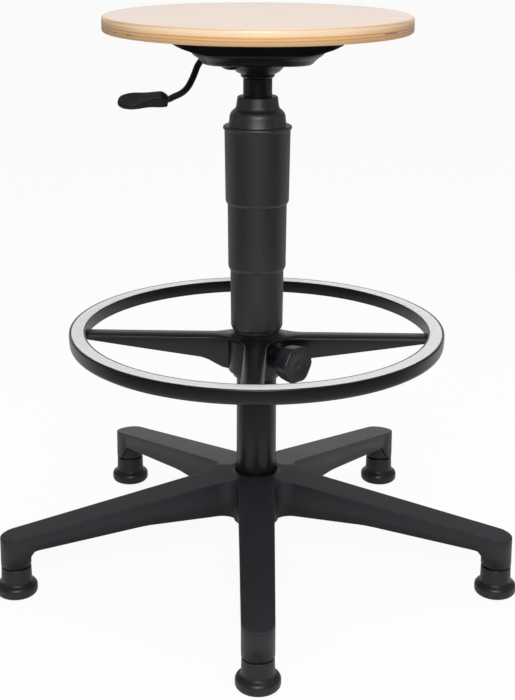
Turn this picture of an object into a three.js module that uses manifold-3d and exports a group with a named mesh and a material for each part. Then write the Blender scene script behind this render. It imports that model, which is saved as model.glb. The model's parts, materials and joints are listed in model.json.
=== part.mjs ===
// Perch stool: a round plywood seat on a gas column with a three-part telescopic cover,
// a foot ring that clamps on the column, and a five-star moulded base on glides.
// Millimetres, +Z up. The floor is z = 0 and one leg of the base points to -Y, the front.
import * as THREE from 'three';
import { mergeVertices } from 'three/addons/utils/BufferGeometryUtils.js';
import Module from 'manifold-3d';

const wasm = await Module();
wasm.setup();

// Shared fits
const gap = 0.3; // between pieces that touch
const overrun = 4; // how far a cutter runs past the face it cuts
const wallThin = 1.6; // telescopic cover wall
const turn = 2 * Math.PI;

// Round pieces: sides of the polygon that stands for a circle
const seatSides = 48;
const coverSides = 24;
const ringSides = 44;
const shaftSides = 16;
const smallSides = 10;
const washerSides = 12;
const padSides = 20;
const cornerEaseShare = 0.00025; // of a turn, keeps the ends of two corners apart

// Seat panel, plywood
const seatHeight = 700; // top face, column fully out
const seatDiameter = 372;
const seatThickness = 19;
const seatEdgeRadius = 4;

// Fixings between plate and seat
const fixingOffset = 79; // each way from the axis
const screwRadius = 3;
const screwHeadRadius = 6;
const screwHeadHeight = 3.2;
const screwCrownShare = 0.7; // flat of the head
const screwReach = 12; // into the panel
const insertRadius = 5;
const insertDepth = 13;
const insertFlangeRadius = 7;
const insertFlangeHeight = 1.5;

// Seat plate, pressed steel
const plateSheet = 2.5;
const plateHalf = 102; // outside of the turned-down lip
const plateCorner = 36;
const plateLipDepth = 18; // in the middle of a side
const plateLipEndDepth = 11; // at the corners
const plateLipShares = [0, 0.35, 0.65, 0.85, 1]; // stations of the lip's curve, from mid-side
const plateBend = 2; // bend at the top of the lip
const panHalf = 63; // flat floor of the pan
const panMouthHalf = 84;
const panCorner = 27;
const panDepth = 36.2;
const panWallShares = [[0.17, 0.9], [0.41, 0.75], [0.72, 0.62], [0.9, 0.35]]; // out to mouth, down to floor
const coneTopRadius = 42;
const coneMidRadius = 28;
const coneMidDrop = 11;
const coneTopShare = 0.33; // of that drop, halfway in
const coneDrop = 15; // below the pan floor, at the hole
const plateHoleClearance = 0.4;
const plateSlotClearance = 2; // each side of the lever
const dimpleRadius = 13;
const dimpleHeight = 7;
const dimpleAcross = -34;
const dimpleForward = -36;

// Taper socket welded in the plate
const socketRadius = 20.6;
const socketDrop = 20; // below the pan floor
const socketChamfer = 1.9;
const socketRise = 10; // above the pan floor
const socketFlangeRadius = 48;
const socketFlangeThickness = 2.6;

// Gas spring
const stroke = 150;
const pressureRadius = 14;
const pressureWall = 2;
const pressureTaper = 0.8; // taken off the radius along the socket
const pressureRise = 2; // above the socket
const pressureHeadLength = 30; // solid head with the valve
const pressureCrimpRadius = 8;
const pressureCrimpThickness = 1.7;
const pressureTail = 8; // below the guide bush
const pinRadius = 3;
const pinStand = 6; // above the head of the spring
const pinCollarRadius = 8;
const pinCollarHeight = 4;
const sleeveRadius = 17.6;
const sleeveShow = 22.3; // bare length between socket and cover
const sleeveFlangeHeight = 4;
const sleeveHidden = 22; // below the top of the cover
const sealLength = 12;
const pistonHeight = 12;
const pistonStandOff = 3.5; // above the seal when fully out
const rodRadius = 5;
const rodEndRadius = 4;
const rodGrooveRadius = 3;
const rodHeadRadius = 6.5;
const rodHeadHeight = 2.7;
const rodTipLength = 3; // below the clip
const clipMouthShare = 0.9; // of the groove's radius

// Outer tube with its bush and thrust bearing
const tubeRadius = 25;
const tubeWall = 2;
const tubeFloor = 3.5;
const tubeProud = 7; // below the hub
const bushLength = 80;
const bushFlange = 2.7;
const raceRadius = 16;
const raceThickness = 2;
const ballRadius = 2.2;
const ballPitchRadius = 11;
const ballCount = 9;
const cageWidth = 7;
const cageThickness = 2.2;
const bufferRadius = 13;
const bufferHeight = 20;
const clipRadius = 10;
const clipThickness = 1.8;
const clipWasherThickness = 1.2;

// Telescopic cover
const upperNeckRadius = 24.4;
const upperNeckHeight = 13.7;
const upperNeckFlare = 2.1;
const upperNeckRoof = 4.3;
const upperShoulderRadius = 33.9;
const upperShoulderHeight = 8;
const upperShoulderShares = [[0.15, 0.2], [0.75, 0.55]]; // out to the shoulder, down its height
const upperDrumHeight = 12;
const upperDrumFlare = 1.2;
const upperRimRadius = 41.9;
const upperRimHeight = 4.5;
const upperRimRoundShare = 0.4;
const upperBodyRadius = 40.3;
const upperFootRadius = 38.9;
const middleTopRadius = 36.35;
const middleFootRadius = 35.55;
const lowerTopRadius = 32.95;
const lowerFootRadius = 32.1;
const coverLip = 2.5; // height of the lips and beads that hang the covers on each other
const coverLipIn = 0.65;
const coverBead = 0.6;
const coverChamfer = 1.6;
const upperShare = 0.454; // of the height from the foot-ring hub to the top of the cover
const middleShare = 0.278;

// Foot ring, one moulding with four spokes and a hub
const ringRadius = 233;
const ringWidth = 20;
const ringHeight = 20; // outer wall
const ringInnerHeight = 16;
const ringTop = 312;
const ringTopRound = 0.7;
const ringFootRound = 4;
const spokeCount = 4;
const spokeHalf = 13;
const spokeFillet = 41; // plan radius between one spoke and the next
const spokeCrown = 4;
const spokeCrownShares = [[-1, 1], [-0.6, 0.25], [0, 0], [0.6, 0.25], [1, 1]]; // across, drop of the crown
const spokeEdge = 3.2;
const spokeSink = 7.5; // crown below the top of the ring
const spokeWeb = 5;
const spokeEndDepth = 11.5;
const spokeRootDepth = 33;
const spokeRootAt = 70;
const spokeFilletShares = [0, 0.12, 0.3, 0.55, 1]; // stations from the start to the end of the fillet
const spokeRunShares = [0.1, 1]; // stations from there to the rim
const spokeBiteShare = 0.33; // of the rim's width, how far a spoke runs into it
const hubRadius = 35.5;
const hubDepth = 48.5; // below the crown of the spokes
const hubCollarRadius = 28.6;
const hubCollarHeight = 4; // above the crown
const hubFootRadius = 29.6;
const hubFootStep = 0.5;
const hubFootHeight = 6.5;

// Metal tread let into the top of the ring
const treadMargin = 1.6; // rim left on each side of the recess
const treadClearance = 0.5; // round the tread
const treadThickness = 1.2;

// Liner between hub and column
const linerWall = 1.7;
const linerFlangeHeight = 3;
const linerSlot = 5;

// Clamp
const clampAzimuth = 42; // degrees to the right of the front
const clampDrop = 25; // axis below the crown of the spokes
const clampBossRadius = 13;
const clampBossReach = 50;
const clampInsertRadius = 8;
const clampInsertLength = 13;
const clampScrewRadius = 4;
const clampPadRadius = 6;
const clampPadLength = 4;
const knobRadius = 23.3;
const knobDepth = 24;
const knobLobes = 6;
const knobSidesPerLobe = 6;
const knobLobeDepth = 1.6;
const knobProfileShares = [
  [0.45, 0], [0.72, 0.02], [0.9, 0.12], [0.95, 0.3], [1, 0.78], [0.985, 0.9], [0.93, 0.97], [0.86, 1],
]; // of the radius, of the depth
const knobDish = 1.6;
const knobDishRadius = 15;
const knobDishShare = 0.7; // of its radius and depth, the knee of the dish
const knobSocketRadius = 11;
const knobBite = 15; // screw inside the knob

// Five-star base
const legCount = 5;
const footCircle = 309;
const baseTop = 123.5;
const legRootHalf = 23.2;
const legEndRadius = 18.6;
const legFillet = 20;
const legRootDepth = 49;
const legMidAt = 150;
const legMidBottom = 74.5;
const legEndTop = 76.9;
const legEndBottom = 58;
const legWall = 4;
const legRib = 3;
const legBays = 4;
const bossBottom = 38.5;
const hubBossRadius = 29;
const hubBossBottom = 54;
const hubMouthRadius = 26.9;
const hubMouthDepth = 12;
const hubTaper = 1.4; // taken off the radius along the seat
const bossDraft = 0.1; // boss inside the end of the leg
const bossBreak = 0.35; // broken edge at its foot

// Glides
const glideRadius = 25.3;
const glideNeckRadius = 18.3;
const glideTop = 36.5;
const glidePadShares = [[0.78, 0], [0.94, 0.07], [1, 0.25], [0.98, 0.38], [0.8, 0.475]]; // of radius, of height
const glideNeckFoot = 0.3; // how much the neck widens at its foot
const glideNeckShare = 0.6; // of the height
const glideSpigotRadius = 14;
const glideStemRadius = 5.3;
const glideStemRise = 24; // into the boss
const glideStemSink = 22; // into the glide

// Height lever
const leverRadius = 3.15;
const leverHandleReach = 171;
const leverSocketAt = 109;
const leverPivotAt = 44;
const leverBendAt = 51; // where it starts down
const leverBendShares = [
  [0.1, 0.06], [0.2, 0.17], [0.28, 0.29], [0.37, 0.41], [0.44, 0.56],
  [0.52, 0.71], [0.6, 0.81], [0.71, 0.89], [0.86, 0.95],
]; // out to the handle, down to it
const leverTipPast = 7; // beyond the axis
const leverHandleDrop = 83.5; // rod in the handle below the seat panel
const leverSwing = 4; // degrees
const handleHalfWidth = 15.9;
const handleHeight = 13.2; // socket end
const handleSag = 0.8; // middle of the socket end below the rod
const handleRoll = 18; // degrees, tipped towards the front
const handleBite = 16; // rod inside the handle
const handleDish = 1.1;
const handleShares = [
  [0, 0.34, 0.8, -0.94], [0.03, 0.415, 0.88, -0.98], [0.12, 0.5, 1.03, -1], [0.3, 0.515, 0.97, -1],
  [0.4, 0.6, 0.82, -0.98], [0.5, 0.78, 0.61, -0.955], [0.6, 0.93, 0.4, -0.925], [0.72, 1, 0.21, -0.91],
  [0.84, 0.945, 0.12, -0.895], [0.93, 0.75, 0.03, -0.85], [0.98, 0.48, -0.12, -0.73], [1, 0.16, -0.33, -0.52],
]; // along the handle, half width, top, bottom
const handleRoundShare = 0.6; // power that squares the section
const handleDishShares = [0.72, 0.24, 0.76, 0.16]; // place along, length, width, level of the thumb dish
const bracketThickness = 2;
const bracketHalf = 9;
const bracketLength = 10;

// Levels and places that follow from the sizes above
const axisShift = footCircle * (1 - Math.cos(Math.PI / legCount)) / 2; // centres the footprint on the origin
const seatUnder = seatHeight - seatThickness;
const plateTop = seatUnder - gap;
const panFloor = plateTop - panDepth;
const panInside = panFloor + plateSheet;
const socketBottom = panFloor - socketDrop;
const socketTop = panFloor + socketRise;
const pressureTop = socketTop + pressureRise;
const pinTop = pressureTop + pinStand;
const spokeTop = ringTop - spokeSink;
const collarTop = spokeTop + hubCollarHeight;
const linerTop = collarTop + gap + linerFlangeHeight;
const coverBottom = linerTop + gap;
const coverTop = socketBottom - sleeveShow;
const coverHeight = coverTop - coverBottom;
const upperBottom = coverTop - upperShare * coverHeight;
const middleBottom = upperBottom - middleShare * coverHeight;
const middleTop = upperBottom + 2 * coverLip + gap;
const lowerTop = middleBottom + 2 * coverLip + gap;
const tubeTop = lowerTop - coverLip - gap - bushFlange - gap;
const tubeBottom = hubBossBottom - tubeProud;
const pressureBottom = tubeTop - bushLength - pressureTail;
const knobStart = clampBossReach + 2 * gap + linerWall;

const finishes = {
  beech: { color: 0xe9d3bb, roughness: 0.38, metalness: 0 },
  blackSteel: { color: 0x131416, roughness: 0.35, metalness: 0.3 },
  zinc: { color: 0xa9adb0, roughness: 0.35, metalness: 0.9 },
  brightSteel: { color: 0xc6c9cb, roughness: 0.2, metalness: 1 },
  coverPlastic: { color: 0x1b1d1e, roughness: 0.5, metalness: 0 },
  ringPlastic: { color: 0x17191a, roughness: 0.3, metalness: 0 },
  basePlastic: { color: 0x2b2e33, roughness: 0.6, metalness: 0 },
  knobPlastic: { color: 0x24272b, roughness: 0.5, metalness: 0 },
  leverPlastic: { color: 0x23231f, roughness: 0.45, metalness: 0 },
  bushPlastic: { color: 0xd9d6cc, roughness: 0.6, metalness: 0 },
  rubber: { color: 0x161616, roughness: 0.85, metalness: 0 },
};

// Solids: a closed mesh goes in, its volume is made positive, and booleans act on it
function signedVolume(geometry) {
  const p = geometry.attributes.position;
  const index = geometry.index.array;
  const a = new THREE.Vector3();
  const b = new THREE.Vector3();
  const c = new THREE.Vector3();
  let sum = 0;
  for (let i = 0; i < index.length; i += 3) {
    a.fromBufferAttribute(p, index[i]);
    b.fromBufferAttribute(p, index[i + 1]);
    c.fromBufferAttribute(p, index[i + 2]);
    sum += a.dot(b.cross(c));
  }
  return sum;
}

function solid(source) {
  let geometry = source.clone();
  geometry.deleteAttribute('normal');
  geometry.deleteAttribute('uv');
  geometry = mergeVertices(geometry);
  const index = Array.from(geometry.index.array);
  if (signedVolume(geometry) < 0) index.reverse();
  return new wasm.Manifold(new wasm.Mesh({
    numProp: 3,
    vertProperties: new Float32Array(geometry.attributes.position.array),
    triVerts: new Uint32Array(index),
  }));
}

function geometryOf(body) {
  const mesh = body.getMesh();
  const geometry = new THREE.BufferGeometry();
  const positions = new Float32Array(mesh.vertProperties);
  geometry.setAttribute('position', new THREE.BufferAttribute(positions, 3));
  geometry.setIndex(new THREE.BufferAttribute(new Uint32Array(mesh.triVerts), 1));
  return geometry;
}

const joined = (bodies) => bodies.reduce((sum, body) => sum.add(body));
const cut = (body, cutters) => cutters.reduce((rest, cutter) => rest.subtract(cutter), body);

function moved(body, x, y, z) {
  return body.translate([x, y, z]);
}

function turned(body, degrees) {
  return body.rotate([0, 0, degrees]);
}

// A revolved solid about Z from a closed outline of [radius, z] points
function revolve(outline, sides) {
  const points = outline.map(([r, z]) => new THREE.Vector2(r, z));
  if (outline[0][0] > 0) points.push(points[0].clone());
  return solid(new THREE.LatheGeometry(points, sides).rotateX(Math.PI / 2));
}

function rod(radius, bottom, top, sides = shaftSides) {
  return revolve([[0, bottom], [radius, bottom], [radius, top], [0, top]], sides);
}

function washer(inner, outer, bottom, top, sides = washerSides) {
  return revolve([[inner, bottom], [outer, bottom], [outer, top], [inner, top]], sides);
}

// A quarter round from one point to the next about a centre, as outline points
function arc(r, z, radius, fromDegrees, toDegrees, steps = 3) {
  return Array.from({ length: steps + 1 }, (_, i) => {
    const a = THREE.MathUtils.degToRad(fromDegrees + (toDegrees - fromDegrees) * i / steps);
    return [r + radius * Math.cos(a), z + radius * Math.sin(a)];
  });
}

function box(x0, x1, y0, y1, z0, z1) {
  const geometry = new THREE.BoxGeometry(x1 - x0, y1 - y0, z1 - z0);
  return solid(geometry.translate((x0 + x1) / 2, (y0 + y1) / 2, (z0 + z1) / 2));
}

// A skin through rings of points; it closes on itself, or is capped at both ends
function loft(rings, closed) {
  const count = rings[0].length;
  const positions = rings.flat().flat();
  const index = [];
  const last = closed ? rings.length : rings.length - 1;
  for (let i = 0; i < last; i++) {
    const a = i * count;
    const b = ((i + 1) % rings.length) * count;
    for (let j = 0; j < count; j++) {
      const k = (j + 1) % count;
      index.push(a + j, a + k, b + j, a + k, b + k, b + j);
    }
  }
  if (!closed) {
    const end = (rings.length - 1) * count;
    for (let j = 1; j < count - 1; j++) {
      index.push(0, j + 1, j);
      index.push(end, end + j, end + j + 1);
    }
  }
  const geometry = new THREE.BufferGeometry();
  geometry.setAttribute('position', new THREE.Float32BufferAttribute(positions, 3));
  geometry.setIndex(index);
  return solid(geometry);
}

// A square ring with round corners; a corner as large as half the side makes it a circle
function roundedSquare(half, corner, z, steps = 3) {
  const points = [];
  for (let quarter = 0; quarter < 4; quarter++) {
    for (let i = 0; i <= steps; i++) {
      const ease = i === 0 ? 1 : i === steps ? -1 : 0;
      const a = (quarter + i / steps) * turn / 4 + ease * turn * cornerEaseShare;
      const cx = Math.sign(Math.cos((quarter + 0.5) * turn / 4)) * (half - corner);
      const cy = Math.sign(Math.sin((quarter + 0.5) * turn / 4)) * (half - corner);
      points.push([cx + corner * Math.cos(a), cy + corner * Math.sin(a), z]);
    }
  }
  return points;
}

// Assembly: each piece is a named mesh with its own material
const stool = new THREE.Group();
stool.position.y = axisShift;

function piece(name, body, finish) {
  const mesh = new THREE.Mesh(geometryOf(body), new THREE.MeshStandardMaterial(finishes[finish]));
  mesh.name = name;
  stool.add(mesh);
  return mesh;
}

// Seat panel with four blind holes for the threaded inserts
const fixings = [[1, 1], [-1, 1], [-1, -1], [1, -1]].map(([x, y]) => [x * fixingOffset, y * fixingOffset]);

function seatPanel() {
  const r = seatDiameter / 2 - seatEdgeRadius;
  const outline = [
    [0, seatUnder],
    ...arc(r, seatUnder + seatEdgeRadius, seatEdgeRadius, -90, 0, 2),
    ...arc(r, seatHeight - seatEdgeRadius, seatEdgeRadius, 0, 90, 2),
    [0, seatHeight],
  ];
  const holeRadius = insertRadius + gap;
  const flangeRadius = insertFlangeRadius + gap;
  const hole = revolve([
    [0, seatUnder - overrun], [flangeRadius, seatUnder - overrun],
    [flangeRadius, seatUnder + insertFlangeHeight + gap], [holeRadius, seatUnder + insertFlangeHeight + gap],
    [holeRadius, seatUnder + insertDepth + gap], [0, seatUnder + insertDepth + gap],
  ], smallSides);
  return cut(revolve(outline, seatSides), fixings.map(([x, y]) => moved(hole, x, y, 0)));
}

function seatInsert() {
  const bore = screwRadius + gap;
  return revolve([
    [bore, seatUnder], [insertFlangeRadius, seatUnder],
    [insertFlangeRadius, seatUnder + insertFlangeHeight], [insertRadius, seatUnder + insertFlangeHeight],
    [insertRadius, seatUnder + insertDepth], [bore, seatUnder + insertDepth],
  ], smallSides);
}

function seatScrew() {
  const head = plateTop - plateSheet - gap;
  return revolve([
    [0, head - screwHeadHeight], [screwHeadRadius * screwCrownShare, head - screwHeadHeight],
    [screwHeadRadius, head - screwHeadHeight / 2], [screwHeadRadius, head],
    [screwRadius, head], [screwRadius, seatUnder + screwReach], [0, seatUnder + screwReach],
  ], smallSides);
}

// Seat plate: one sheet pressed into a lip, a flange, a pan and a cone; each station of the
// section is [half width, z, distance of the corner centre from the axis]
function seatPlate() {
  const flange = plateTop - plateSheet;
  const lipInside = plateHalf - plateSheet;
  const panCentre = panHalf - panCorner;
  const lipCentre = plateHalf - plateCorner;
  const lowestRadius = socketRadius + plateHoleClearance;
  const section = [
    [lowestRadius - gap, panFloor - coneDrop, 0],
    [coneMidRadius, panFloor - coneMidDrop, 0],
    [(coneMidRadius + coneTopRadius) / 2, panFloor - coneMidDrop * coneTopShare, 0],
    [coneTopRadius, panFloor, 0],
    [panHalf, panFloor, panCentre],
    ...panWallShares.map(([out, down]) => [
      panHalf + out * (panMouthHalf - panHalf), flange - down * (flange - panFloor), panCentre,
    ]),
    [panMouthHalf, flange, panCentre],
    [lipInside - plateBend, flange, lipCentre],
    [lipInside, flange - plateBend, lipCentre],
    [lipInside, plateTop - plateLipDepth, lipCentre],
  ];
  const other = section.map(([half, z, centre], i) => {
    const before = section[Math.max(i - 1, 0)];
    const after = section[Math.min(i + 1, section.length - 1)];
    const along = [
      new THREE.Vector2(half - before[0], z - before[1]),
      new THREE.Vector2(after[0] - half, after[1] - z),
    ];
    const units = along.filter((v) => v.length() > 0).map((v) => v.normalize());
    const mean = units.reduce((sum, v) => sum.add(v), new THREE.Vector2()).normalize();
    const reach = plateSheet / Math.max(mean.dot(units[0]), 0.5);
    return [half - mean.y * reach, z + mean.x * reach, centre];
  });
  const outline = [...section, ...other.reverse()];
  const rings = outline.map(([half, z, centre]) => roundedSquare(half, half - centre, z));
  const sheet = loft(rings, true);
  const dimple = new THREE.SphereGeometry(1, smallSides, smallSides / 2);
  dimple.scale(dimpleRadius, dimpleRadius, dimpleHeight);
  dimple.translate(dimpleAcross, dimpleForward, panFloor + gap);
  const dome = solid(dimple).intersect(
    box(-plateHalf, plateHalf, -plateHalf, plateHalf, panFloor - overrun * 2, panInside),
  );
  const slotHalf = leverRadius + plateSlotClearance;
  const slot = box(-panMouthHalf, -panHalf + plateSheet, -slotHalf, slotHalf, panFloor - overrun, flange - gap);
  const hole = rod(screwRadius + gap, flange - overrun, plateTop + overrun, smallSides);
  const bore = rod(lowestRadius, panFloor - coneDrop - overrun, panInside + overrun);
  const levels = [panFloor - coneDrop, plateTop];
  const core = loft(levels.map((z) => roundedSquare(lipInside - gap, plateCorner, z)), false);
  const arches = joined(Array.from({ length: 4 }, (_, side) => turned(lipArch(), 90 * side))).subtract(core);
  return cut(sheet.add(dome), [bore, slot, arches, ...fixings.map(([x, y]) => moved(hole, x, y, 0))]);
}

// What is taken off the lower edge of one side's lip: it is deepest in the middle and shallow at the corners
function lipArch() {
  const reach = plateHalf - plateCorner;
  const low = plateTop - plateLipDepth;
  const high = plateTop - plateLipEndDepth;
  const edge = plateLipShares.map((share) => [share * reach, low + (high - low) * share * share]);
  const half = [...edge, [plateHalf + overrun, high]];
  const shape = new THREE.Shape([
    ...half.map(([x, z]) => new THREE.Vector2(x, z)),
    new THREE.Vector2(plateHalf + overrun, low - overrun),
    new THREE.Vector2(-plateHalf - overrun, low - overrun),
    ...half.reverse().slice(0, -1).map(([x, z]) => new THREE.Vector2(-x, z)),
  ]);
  const slab = new THREE.ExtrudeGeometry(shape, { depth: plateCorner + overrun, bevelEnabled: false });
  return solid(slab.rotateX(Math.PI / 2).translate(0, -reach, 0));
}

function taperSocket() {
  const bottom = pressureRadius + gap;
  const top = pressureRadius - pressureTaper + gap;
  return revolve([
    [bottom, socketBottom], [socketRadius - socketChamfer, socketBottom],
    [socketRadius, socketBottom + socketChamfer], [socketRadius, panInside + gap],
    [socketFlangeRadius, panInside + gap], [socketFlangeRadius, panInside + gap + socketFlangeThickness],
    [socketRadius, panInside + gap + socketFlangeThickness], [socketRadius, socketTop], [top, socketTop],
  ], shaftSides);
}

// Gas spring
function pressureTube() {
  const bore = pressureRadius - pressureWall;
  const head = pressureTop - pressureHeadLength;
  return revolve([
    [pressureCrimpRadius, pressureBottom], [pressureRadius, pressureBottom],
    [pressureRadius, socketBottom], [pressureRadius - pressureTaper, socketTop],
    [pressureRadius - pressureTaper, pressureTop], [pinRadius + gap, pressureTop],
    [pinRadius + gap, head], [bore, head], [bore, pressureBottom + pressureCrimpThickness],
    [pressureCrimpRadius, pressureBottom + pressureCrimpThickness],
  ], shaftSides);
}

function releasePin() {
  const shoulder = pressureTop - pressureHeadLength - gap;
  return revolve([
    [0, shoulder - pinCollarHeight], [pinCollarRadius, shoulder - pinCollarHeight],
    [pinCollarRadius, shoulder], [pinRadius, shoulder], [pinRadius, pinTop], [0, pinTop],
  ], smallSides);
}

function spacerSleeve() {
  const inside = pressureRadius + gap;
  const flangeTop = coverTop - upperNeckRoof - gap;
  const flangeRadius = upperNeckRadius - wallThin - 2 * gap;
  return revolve([
    [inside, coverTop - sleeveHidden], [sleeveRadius, coverTop - sleeveHidden],
    [sleeveRadius, flangeTop - sleeveFlangeHeight], [flangeRadius, flangeTop - sleeveFlangeHeight],
    [flangeRadius, flangeTop], [sleeveRadius, flangeTop], [sleeveRadius, socketBottom - gap],
    [inside, socketBottom - gap],
  ], shaftSides);
}

const sealBottom = pressureBottom + pressureCrimpThickness + gap;
const pistonBottom = sealBottom + sealLength + pistonStandOff;
const pistonBore = pressureRadius - pressureWall - gap;

// Thrust bearing, stacked up from the floor of the outer tube
const lowerRaceBottom = tubeBottom + tubeFloor + gap;
const ballLevel = lowerRaceBottom + raceThickness + gap + ballRadius;
const upperRaceBottom = ballLevel + ballRadius + gap;
const rodShoulder = upperRaceBottom + raceThickness + gap;
const clipWasherTop = tubeBottom - gap;
const clipTop = clipWasherTop - clipWasherThickness - gap;
const clipBottom = clipTop - clipThickness;

function pistonRod() {
  const head = pistonBottom + pistonHeight + gap;
  return revolve([
    [0, clipBottom - gap - rodTipLength], [rodEndRadius, clipBottom - gap - rodTipLength],
    [rodEndRadius, clipBottom - gap], [rodGrooveRadius, clipBottom - gap],
    [rodGrooveRadius, clipTop + gap], [rodEndRadius, clipTop + gap],
    [rodEndRadius, rodShoulder], [rodRadius, rodShoulder],
    [rodRadius, pistonBottom - gap], [rodEndRadius, pistonBottom - gap],
    [rodEndRadius, head], [rodHeadRadius, head],
    [rodHeadRadius, head + rodHeadHeight], [0, head + rodHeadHeight],
  ], smallSides);
}

function ballCage() {
  const inner = ballPitchRadius - cageWidth / 2;
  const outer = ballPitchRadius + cageWidth / 2;
  const ring = washer(inner, outer, ballLevel - cageThickness / 2, ballLevel + cageThickness / 2);
  const balls = Array.from({ length: ballCount }, (_, i) => {
    const ball = new THREE.SphereGeometry(ballRadius, 6, 4).rotateX(Math.PI / 2);
    ball.translate(ballPitchRadius, 0, ballLevel);
    return turned(solid(ball), 360 * i / ballCount);
  });
  return joined([ring, ...balls]);
}

// Snap clip: a flat ring open to one side, wide enough to push over the groove
function rodClip() {
  const ring = washer(rodGrooveRadius + gap, clipRadius, clipBottom, clipTop);
  const half = rodGrooveRadius * clipMouthShare;
  const mouth = box(0, clipRadius + overrun, -half, half, clipBottom - overrun, clipTop + overrun);
  return ring.subtract(mouth);
}

function outerTube() {
  const inside = tubeRadius - tubeWall;
  const seatTop = baseTop - hubMouthDepth;
  const foot = tubeRadius - hubTaper;
  return revolve([
    [rodEndRadius + 2 * gap, tubeBottom], [foot, tubeBottom], [foot, hubBossBottom],
    [tubeRadius, seatTop], [tubeRadius, tubeTop], [inside, tubeTop],
    [inside, seatTop], [foot - tubeWall, tubeBottom + tubeFloor],
    [rodEndRadius + 2 * gap, tubeBottom + tubeFloor],
  ], coverSides);
}

function guideBush() {
  const bore = pressureRadius + gap;
  const body = tubeRadius - tubeWall - gap;
  return revolve([
    [bore, tubeTop - bushLength], [body, tubeTop - bushLength], [body, tubeTop + gap],
    [tubeRadius, tubeTop + gap], [tubeRadius, tubeTop + gap + bushFlange],
    [bore, tubeTop + gap + bushFlange],
  ], shaftSides);
}

// Telescopic cover: each part hangs by its top bead on the lip of the part above it
function upperCover() {
  const neckFoot = coverTop - upperNeckHeight;
  const shoulderFoot = neckFoot - upperShoulderHeight;
  const drumFoot = shoulderFoot - upperDrumHeight;
  const rimFoot = drumFoot - upperRimHeight;
  const neckWide = upperNeckRadius + upperNeckFlare;
  const drumWide = upperShoulderRadius + upperDrumFlare;
  const shoulderStep = upperShoulderRadius - neckWide;
  const bead = upperRimHeight * upperRimRoundShare;
  const inner = upperFootRadius - wallThin;
  const lip = middleTopRadius + gap;
  return revolve([
    [sleeveRadius + gap, coverTop], [upperNeckRadius - wallThin, coverTop],
    [upperNeckRadius, coverTop - wallThin],
    [neckWide, neckFoot + wallThin],
    ...upperShoulderShares.map(([out, down]) => [
      neckWide + out * shoulderStep, neckFoot - down * upperShoulderHeight,
    ]),
    [upperShoulderRadius, shoulderFoot],
    [drumWide, drumFoot], [upperRimRadius - bead, drumFoot], [upperRimRadius, drumFoot - bead],
    [upperRimRadius, rimFoot + bead], [upperBodyRadius, rimFoot],
    [upperFootRadius, upperBottom + coverChamfer], [upperFootRadius - coverChamfer / 3, upperBottom],
    [lip, upperBottom], [lip, upperBottom + coverLip], [inner, upperBottom + coverLip + gap],
    [upperBodyRadius - wallThin, drumFoot - wallThin], [drumWide - wallThin, drumFoot - wallThin],
    [upperShoulderRadius - wallThin, shoulderFoot - wallThin], [neckWide, shoulderFoot - wallThin],
    [neckWide - wallThin, neckFoot - wallThin],
    [upperNeckRadius - wallThin, coverTop - upperNeckRoof], [sleeveRadius + gap, coverTop - upperNeckRoof],
  ], coverSides);
}

function middleCover() {
  const beadFoot = upperBottom + coverLip + gap;
  const bead = middleTopRadius + coverBead;
  return revolve([
    [lowerTopRadius + gap, middleBottom], [middleFootRadius - coverChamfer, middleBottom],
    [middleFootRadius, middleBottom + coverChamfer], [middleTopRadius, beadFoot],
    [bead, beadFoot], [bead, middleTop], [middleTopRadius - wallThin, middleTop],
    [middleTopRadius - wallThin, beadFoot], [middleFootRadius - wallThin, middleBottom + coverLip + gap],
    [lowerTopRadius + gap, middleBottom + coverLip],
  ], coverSides);
}

function lowerCover() {
  const beadFoot = middleBottom + coverLip + gap;
  const bead = lowerTopRadius + coverBead;
  return revolve([
    [lowerFootRadius - wallThin, coverBottom], [lowerFootRadius - coverChamfer / 2, coverBottom],
    [lowerFootRadius, coverBottom + coverChamfer], [lowerTopRadius, beadFoot],
    [bead, beadFoot], [bead, lowerTop], [pressureRadius + 2 * gap, lowerTop],
    [pressureRadius + 2 * gap, lowerTop - coverLip], [lowerTopRadius - wallThin, lowerTop - coverLip],
  ], coverSides);
}

// Foot ring: rim with a recess for the tread, spokes of T section with a crowned top that run
// into each other round the hub, and the hub itself
const spokeFilletEnd = spokeHalf + spokeFillet;
const spokeFilletStart = spokeFilletEnd - spokeFillet * Math.SQRT1_2;

function spokeHalfAt(at) {
  if (at < spokeFilletStart) return spokeFilletStart + gap;
  const back = Math.max(spokeFilletEnd - at, 0);
  return spokeFilletEnd - Math.sqrt(spokeFillet ** 2 - back ** 2);
}

function spokeDepthAt(at, end) {
  const out = THREE.MathUtils.smoothstep(at, hubRadius, spokeRootAt);
  const run = Math.max(at - spokeRootAt, 0) / (end - spokeRootAt);
  return hubDepth + out * (spokeRootDepth - hubDepth) - run * (spokeRootDepth - spokeEndDepth);
}

function spokeRing(at, end) {
  const half = spokeHalfAt(at);
  const ribHalf = spokeWeb / 2;
  const edge = spokeTop - spokeCrown - spokeEdge;
  const foot = spokeTop - spokeDepthAt(at, end);
  return [
    ...spokeCrownShares.map(([across, drop]) => [at, across * half, spokeTop - drop * spokeCrown]),
    [at, half, edge], [at, ribHalf, edge - ribHalf], [at, ribHalf, Math.min(foot, edge - spokeWeb)],
    [at, -ribHalf, Math.min(foot, edge - spokeWeb)], [at, -ribHalf, edge - ribHalf], [at, -half, edge],
  ];
}

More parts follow.
